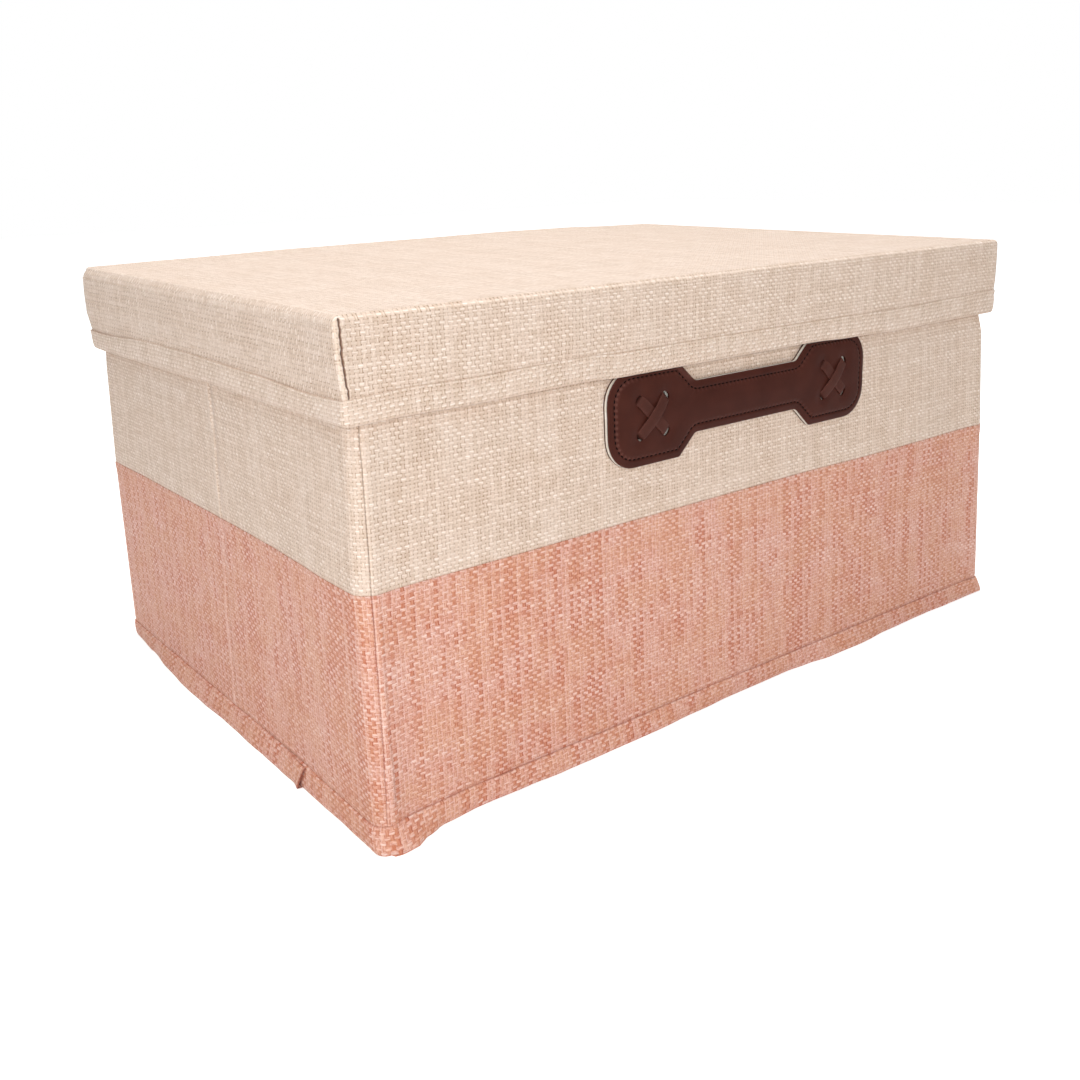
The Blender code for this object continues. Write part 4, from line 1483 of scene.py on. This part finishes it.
# Distance from a point to a closed outline, whether it lies inside, and how far round the nearest place is.
def outlineDistance(point, outline):
    best, inside, walked, nearest = 1.0, False, 0.0, 0.0
    for a, b in sidesOf(outline):
        run = b - a
        along = min(max((point - a).dot(run) / max(run.length_squared, 1e-18), 0.0), 1.0)
        away = (point - a - run * along).length
        if away < best:
            best, nearest = away, walked + run.length * along
        walked += run.length
        if (a.y > point.y) != (b.y > point.y) and point.x < a.x + (point.y - a.y) * run.x / run.y:
            inside = not inside
    return best, inside, nearest


# Triangles over the handle's outline with its eight holes, closer together where the surface turns.
def layeredSheet(insets, spacing, holeGrow):
    points, edges = [], []

    def loop(outline, isEdge, step=1.6 * mm):
        first = len(points)
        for a, b in sidesOf(outline):
            pieces = max(1, round((b - a).length / step))
            points.extend(a.lerp(b, i / pieces) for i in range(pieces))
        if isEdge:
            edges.extend(sidesOf(list(range(first, len(points)))))

    loop(handleOutline(0.0), True)
    border = points[:]
    for inset in insets:
        fine = abs(inset - strap["stitchIn"] - 0.3 * mm) < 1.1 * mm
        loop(handleOutline(inset), False, 0.75 * mm if fine else 1.6 * mm)
    holes = [holeOutline(middle, along, holeGrow) for middle, along in laceHoles()]
    for outline in holes:
        loop(outline, True)
    for middle, along in laceHoles():
        for grow in (0.35 * mm, 0.9 * mm):
            points.extend(holeOutline(middle, along, holeGrow + grow))
    last = max(insets)
    reachX, reachY = strap["length"] / 2, strap["padHeight"] / 2
    rowHeight = spacing * 0.866
    rowsUp = int(reachY / rowHeight)
    nearHole = lacing["holeLong"] + holeGrow + 1.3 * mm
    for j in range(-rowsUp, rowsUp + 1):
        shift = 0.5 * spacing if j % 2 else 0.0
        count = int(reachX / spacing) + 1
        for i in range(-count, count + 1):
            point = Vector((i * spacing + shift, j * rowHeight))
            away, inside, _ = outlineDistance(point, border)
            if inside and away >= last + 0.7 * spacing \
                    and all((point - middle).length >= nearHole for middle, _ in laceHoles()):
                points.append(point)
    result = delaunay_2d_cdt(points, edges, [], 1, 0.0001 * mm)
    return result[0], result[2], border, holes


def outlineLength(outline):
    return sum((b - a).length for a, b in sidesOf(outline))


def stitchCount(outline):
    return round(outlineLength(outline) / strap["stitchPitch"])


# Turns all faces away from the wall.
def faceOutward(mesh):
    bmesh.ops.recalc_face_normals(mesh, faces=mesh.faces)
    outward = onWall.to_3x3() @ Vector((0, 0, 1))
    if sum(face.normal.dot(outward) * face.calc_area() for face in mesh.faces) < 0:
        bmesh.ops.reverse_faces(mesh, faces=mesh.faces)


# One layer between two heights off the wall; lift gives the place of its face and how much painted highlight it
# gets.
def handleLayer(name, node, levels, insets, spacing, holeGrow, material, lift=None):
    verts, faces, border, holes = layeredSheet(insets, spacing, holeGrow)
    mesh = bmesh.new()
    highlightAndWearLayer = mesh.verts.layers.float.new("highlightAndWear")
    made = []
    stitchLine = handleOutline(strap["stitchIn"])
    perStitch = outlineLength(stitchLine) / stitchCount(stitchLine)
    for point in verts:
        high, highlightAndWearShare = levels[1], 0.0
        if lift:
            away = outlineDistance(point, border)[0]
            phase = outlineDistance(point, stitchLine)[2] / perStitch if 3 * mm < away < 7 * mm else 0.0
            nearHole = min((point - middle).length for middle, _ in laceHoles())
            high, highlightAndWearShare = lift(point, away, nearHole, phase)
        vert = mesh.verts.new(onWall @ Vector((point.x, point.y, high)))
        vert[highlightAndWearLayer] = highlightAndWearShare
        made.append(vert)
    for face in faces:
        middle = sum((verts[i] for i in face), Vector((0, 0))) / len(face)
        if not any(outlineDistance(middle, hole)[1] for hole in holes):
            mesh.faces.new([made[i] for i in face])
    bmesh.ops.delete(mesh, geom=[v for v in mesh.verts if not v.link_faces], context="VERTS")
    whole = mesh.verts[:] + mesh.edges[:] + mesh.faces[:]
    bmesh.ops.bisect_plane(mesh, geom=whole, dist=0.001 * mm, plane_co=(0, 0, strap["top"]), plane_no=(0, 0, 1),
                           clear_outer=True)
    faceOutward(mesh)
    thickness = levels[1] - levels[0]
    piece = finishSheet(name, mesh, thickness, material, min(0.22 * mm, thickness * 0.3))
    standIn(piece, "box", node)


# Puffed inside the stitching, with the border bent back a little and dimples at the holes.
def frontLift(point, away, nearHole, phase):
    s = strap
    inside = away - s["stitchIn"]
    edge = peak(away, 0, 0.8 * mm)
    high = s["front"][1] - 0.30 * mm * edge * edge
    high -= s["borderBend"] * peak(away, 0, s["stitchIn"] - 0.6 * mm) ** 1.3
    high += s["puff"] * smooth((inside - 0.2 * mm) / (2.2 * mm)) + s["dome"] * smooth(inside / (10 * mm))
    stitch = 0.5 - 0.5 * cos(2 * pi * phase)       # 1 in the middle of a stitch, 0 between two
    high -= s["grooveDepth"] * smooth(peak(inside, 0, s["grooveHalf"])) * (0.45 + 0.55 * stitch)
    between = peak(inside, 0.9 * mm, 1.2 * mm) * (1 - stitch)
    high += s["scallop"] * between
    high -= 0.5 * mm * (1 - smooth((nearHole - 2.0 * mm) / (5.5 * mm)))
    pad = smooth((abs(point.x) - 40 * mm) / (12 * mm))
    high += 0.12 * mm * ripple(point.x, point.y, 9 * mm, 3.1) * pad
    left = smooth((-point.x - 84 * mm) / (10 * mm))
    high += 0.16 * mm * left * peak(away, 7 * mm, 3.5 * mm) * ripple(point.x * 0.4, point.y, 1.6 * mm, 6.6)
    # Painted highlight on the cut edge, on the puckers between the stitches of the left pad and on the left pad's
    # upper shoulder.
    highlightAndWearShare = 0.5 * edge + between * (0.45 + 0.75 * left)
    facet = smooth((-point.x - 38 * mm) / (4 * mm)) * smooth((60 * mm + point.x) / (5 * mm))
    highlightAndWearShare += 0.55 * facet * smooth((point.y - 13 * mm) / (4 * mm)) * smooth(-(inside + 0.5 * mm) / (0.7 * mm))
    return high, highlightAndWearShare


borderInsets = [x * mm for x in (0.35, 0.9, 1.8, 2.8, 3.5, 3.8, 4.15, 4.5, 4.85, 5.2, 5.7, 6.4, 7.3)]
handleLayer("domed_handle_front_leather", "handle_front_leather", strap["front"], borderInsets, 1.7 * mm, 0.0,
            brownLeather, frontLift)
handleLayer("pressed_handle_core", "handle_core", strap["core"], [1.0 * mm], 4.0 * mm, -0.35 * mm,
            paleCore)
handleLayer("thin_handle_back_leather", "handle_back_leather", strap["back"], [1.0 * mm], 4.0 * mm, -0.2 * mm,
            brownLeather)
print("handle layers ready")


# Short stitches sunk in the groove round the handle.
def makeStitches():
    s = strap
    line = sidesOf(handleOutline(s["stitchIn"]))
    lengths = [(b - a).length for a, b in line]
    total, count = sum(lengths), stitchCount(handleOutline(s["stitchIn"]))
    level = s["front"][1] - s["grooveDepth"] + 0.22 * mm
    mesh = bmesh.new()

    def onLine(distance):
        distance %= total
        for (a, b), length in zip(line, lengths):
            if distance <= length:
                return a.lerp(b, distance / max(length, 1e-9))
            distance -= length
        return line[0][0]

    for k in range(count):
        middle = (k + 0.5) * total / count
        ends = onLine(middle - s["stitchLength"] / 2), onLine(middle + s["stitchLength"] / 2)
        run = ends[1] - ends[0]
        grown = bmesh.ops.create_uvsphere(mesh, u_segments=6, v_segments=6, radius=s["stitchRadius"])["verts"]
        stretch = Matrix.Diagonal((run.length / 2 / s["stitchRadius"], 1.0, 0.9, 1.0))
        slant = Matrix.Rotation(run.angle_signed(Vector((1, 0))) + radians(3), 4, "Z")
        centre = (ends[0] + ends[1]) / 2
        spot = onWall @ Matrix.Translation((centre.x, centre.y, level))
        bmesh.ops.transform(mesh, matrix=spot @ slant @ stretch, verts=grown)
    made = newObject("handle_stitches", mesh)
    made.data.materials.append(handleThread)
    made.data.shade_smooth()
    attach(made, "box")


# Points of a smooth curve through the key points, a few to each stretch.
def smoothCurve(key, steps=4):
    curve = []
    for before, a, b, after in zip([key[0]] + key, key, key[1:], key[2:] + [key[-1]]):
        before, a, b, after = Vector(before), Vector(a), Vector(b), Vector(after)
        for step in range(steps):
            t = step / steps
            curve.append(0.5 * ((2 * a) + (b - before) * t + (2 * before - 5 * a + 4 * b - after) * t * t
                                + (3 * a - before - 3 * b + after) * t ** 3))
    return curve + [Vector(key[-1])]


# A flat lace over one pad, drawn down at both ends through its holes.
def makeLace(name, pad, lean, crossing):
    values = lacing
    along = Vector((1, lean, 0)).normalized()
    across = Vector((-lean, 1, 0)).normalized()
    middle = Vector((pad * values["x"], 0, 0))
    reach, half = values["reach"], values["width"] / 2
    surface = strap["front"][1] + strap["puff"] + strap["dome"] - 0.15 * mm
    flatTop = surface + values["thickness"] + crossing
    key = [
        (-reach + 0.2 * mm, strap["back"][0] + 0.4 * mm), (-reach + 0.1 * mm, strap["front"][0]),
        (-reach + 0.6 * mm, surface - 0.4 * mm), (-reach + 1.9 * mm, surface + 0.55 * mm),
        (-reach + 4.2 * mm, surface + values["thickness"] + 0.1 * mm), (-half - 1.0 * mm, flatTop),
        (0.0, flatTop + 0.05 * mm),
    ]
    key += [(-x, z) for x, z in reversed(key[:-1])]
    curve = smoothCurve(key)
    mesh = bmesh.new()
    bmesh.ops.create_grid(mesh, x_segments=len(curve) - 1, y_segments=values["wide"], size=0.5)
    highlightAndWearLayer = mesh.verts.layers.float.new("highlightAndWear")
    for vert in mesh.verts:
        spot = curve[round((vert.co.x + 0.5) * (len(curve) - 1))]
        side = vert.co.y * 2
        near = min(abs(spot.x - reach), abs(spot.x + reach))
        narrow = values["pinch"] + (1 - values["pinch"]) * smooth(near / (6.5 * mm))
        cup = 0.28 * mm * (1 - side * side) * (1 - 0.5 * smooth(near / (8 * mm)))
        z = spot.y + cup + 0.08 * mm * ripple(spot.x, side, 5 * mm, pad + lean * 2.0)
        wander = 0.25 * mm * ripple(spot.x, 0.0, 9 * mm, 5.0 + pad * lean)
        # The lace is drawn paler towards its edges.
        vert[highlightAndWearLayer] = 0.35 * abs(side) ** 4
        flat = middle + along * spot.x + across * (side * half * narrow + wander)
        vert.co = onWall @ (flat + Vector((0, 0, z)))
    faceOutward(mesh)
    made = finishSheet("flat_" + name, mesh, values["thickness"], laceLeather, values["bevel"])
    standIn(made, "box", name)


makeStitches()
for padSide, padName in ((-1, "left"), (1, "right")):
    makeLace("lace_" + padName + "_under", padSide, -1, 0.0)
    makeLace("lace_" + padName + "_over", padSide, 1, 1.0 * mm)
print("stitches and laces ready")


# The boards keep their own shape and get their pulp
for nodeName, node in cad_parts.items():
    if "board" in nodeName and nodeName != "base_board_cover":
        if not node.material_slots:
            node.data.materials.append(greyBoard)
        for slot in node.material_slots:
            slot.material = greyBoard
print("boards ready")

bpy.context.view_layer.update()
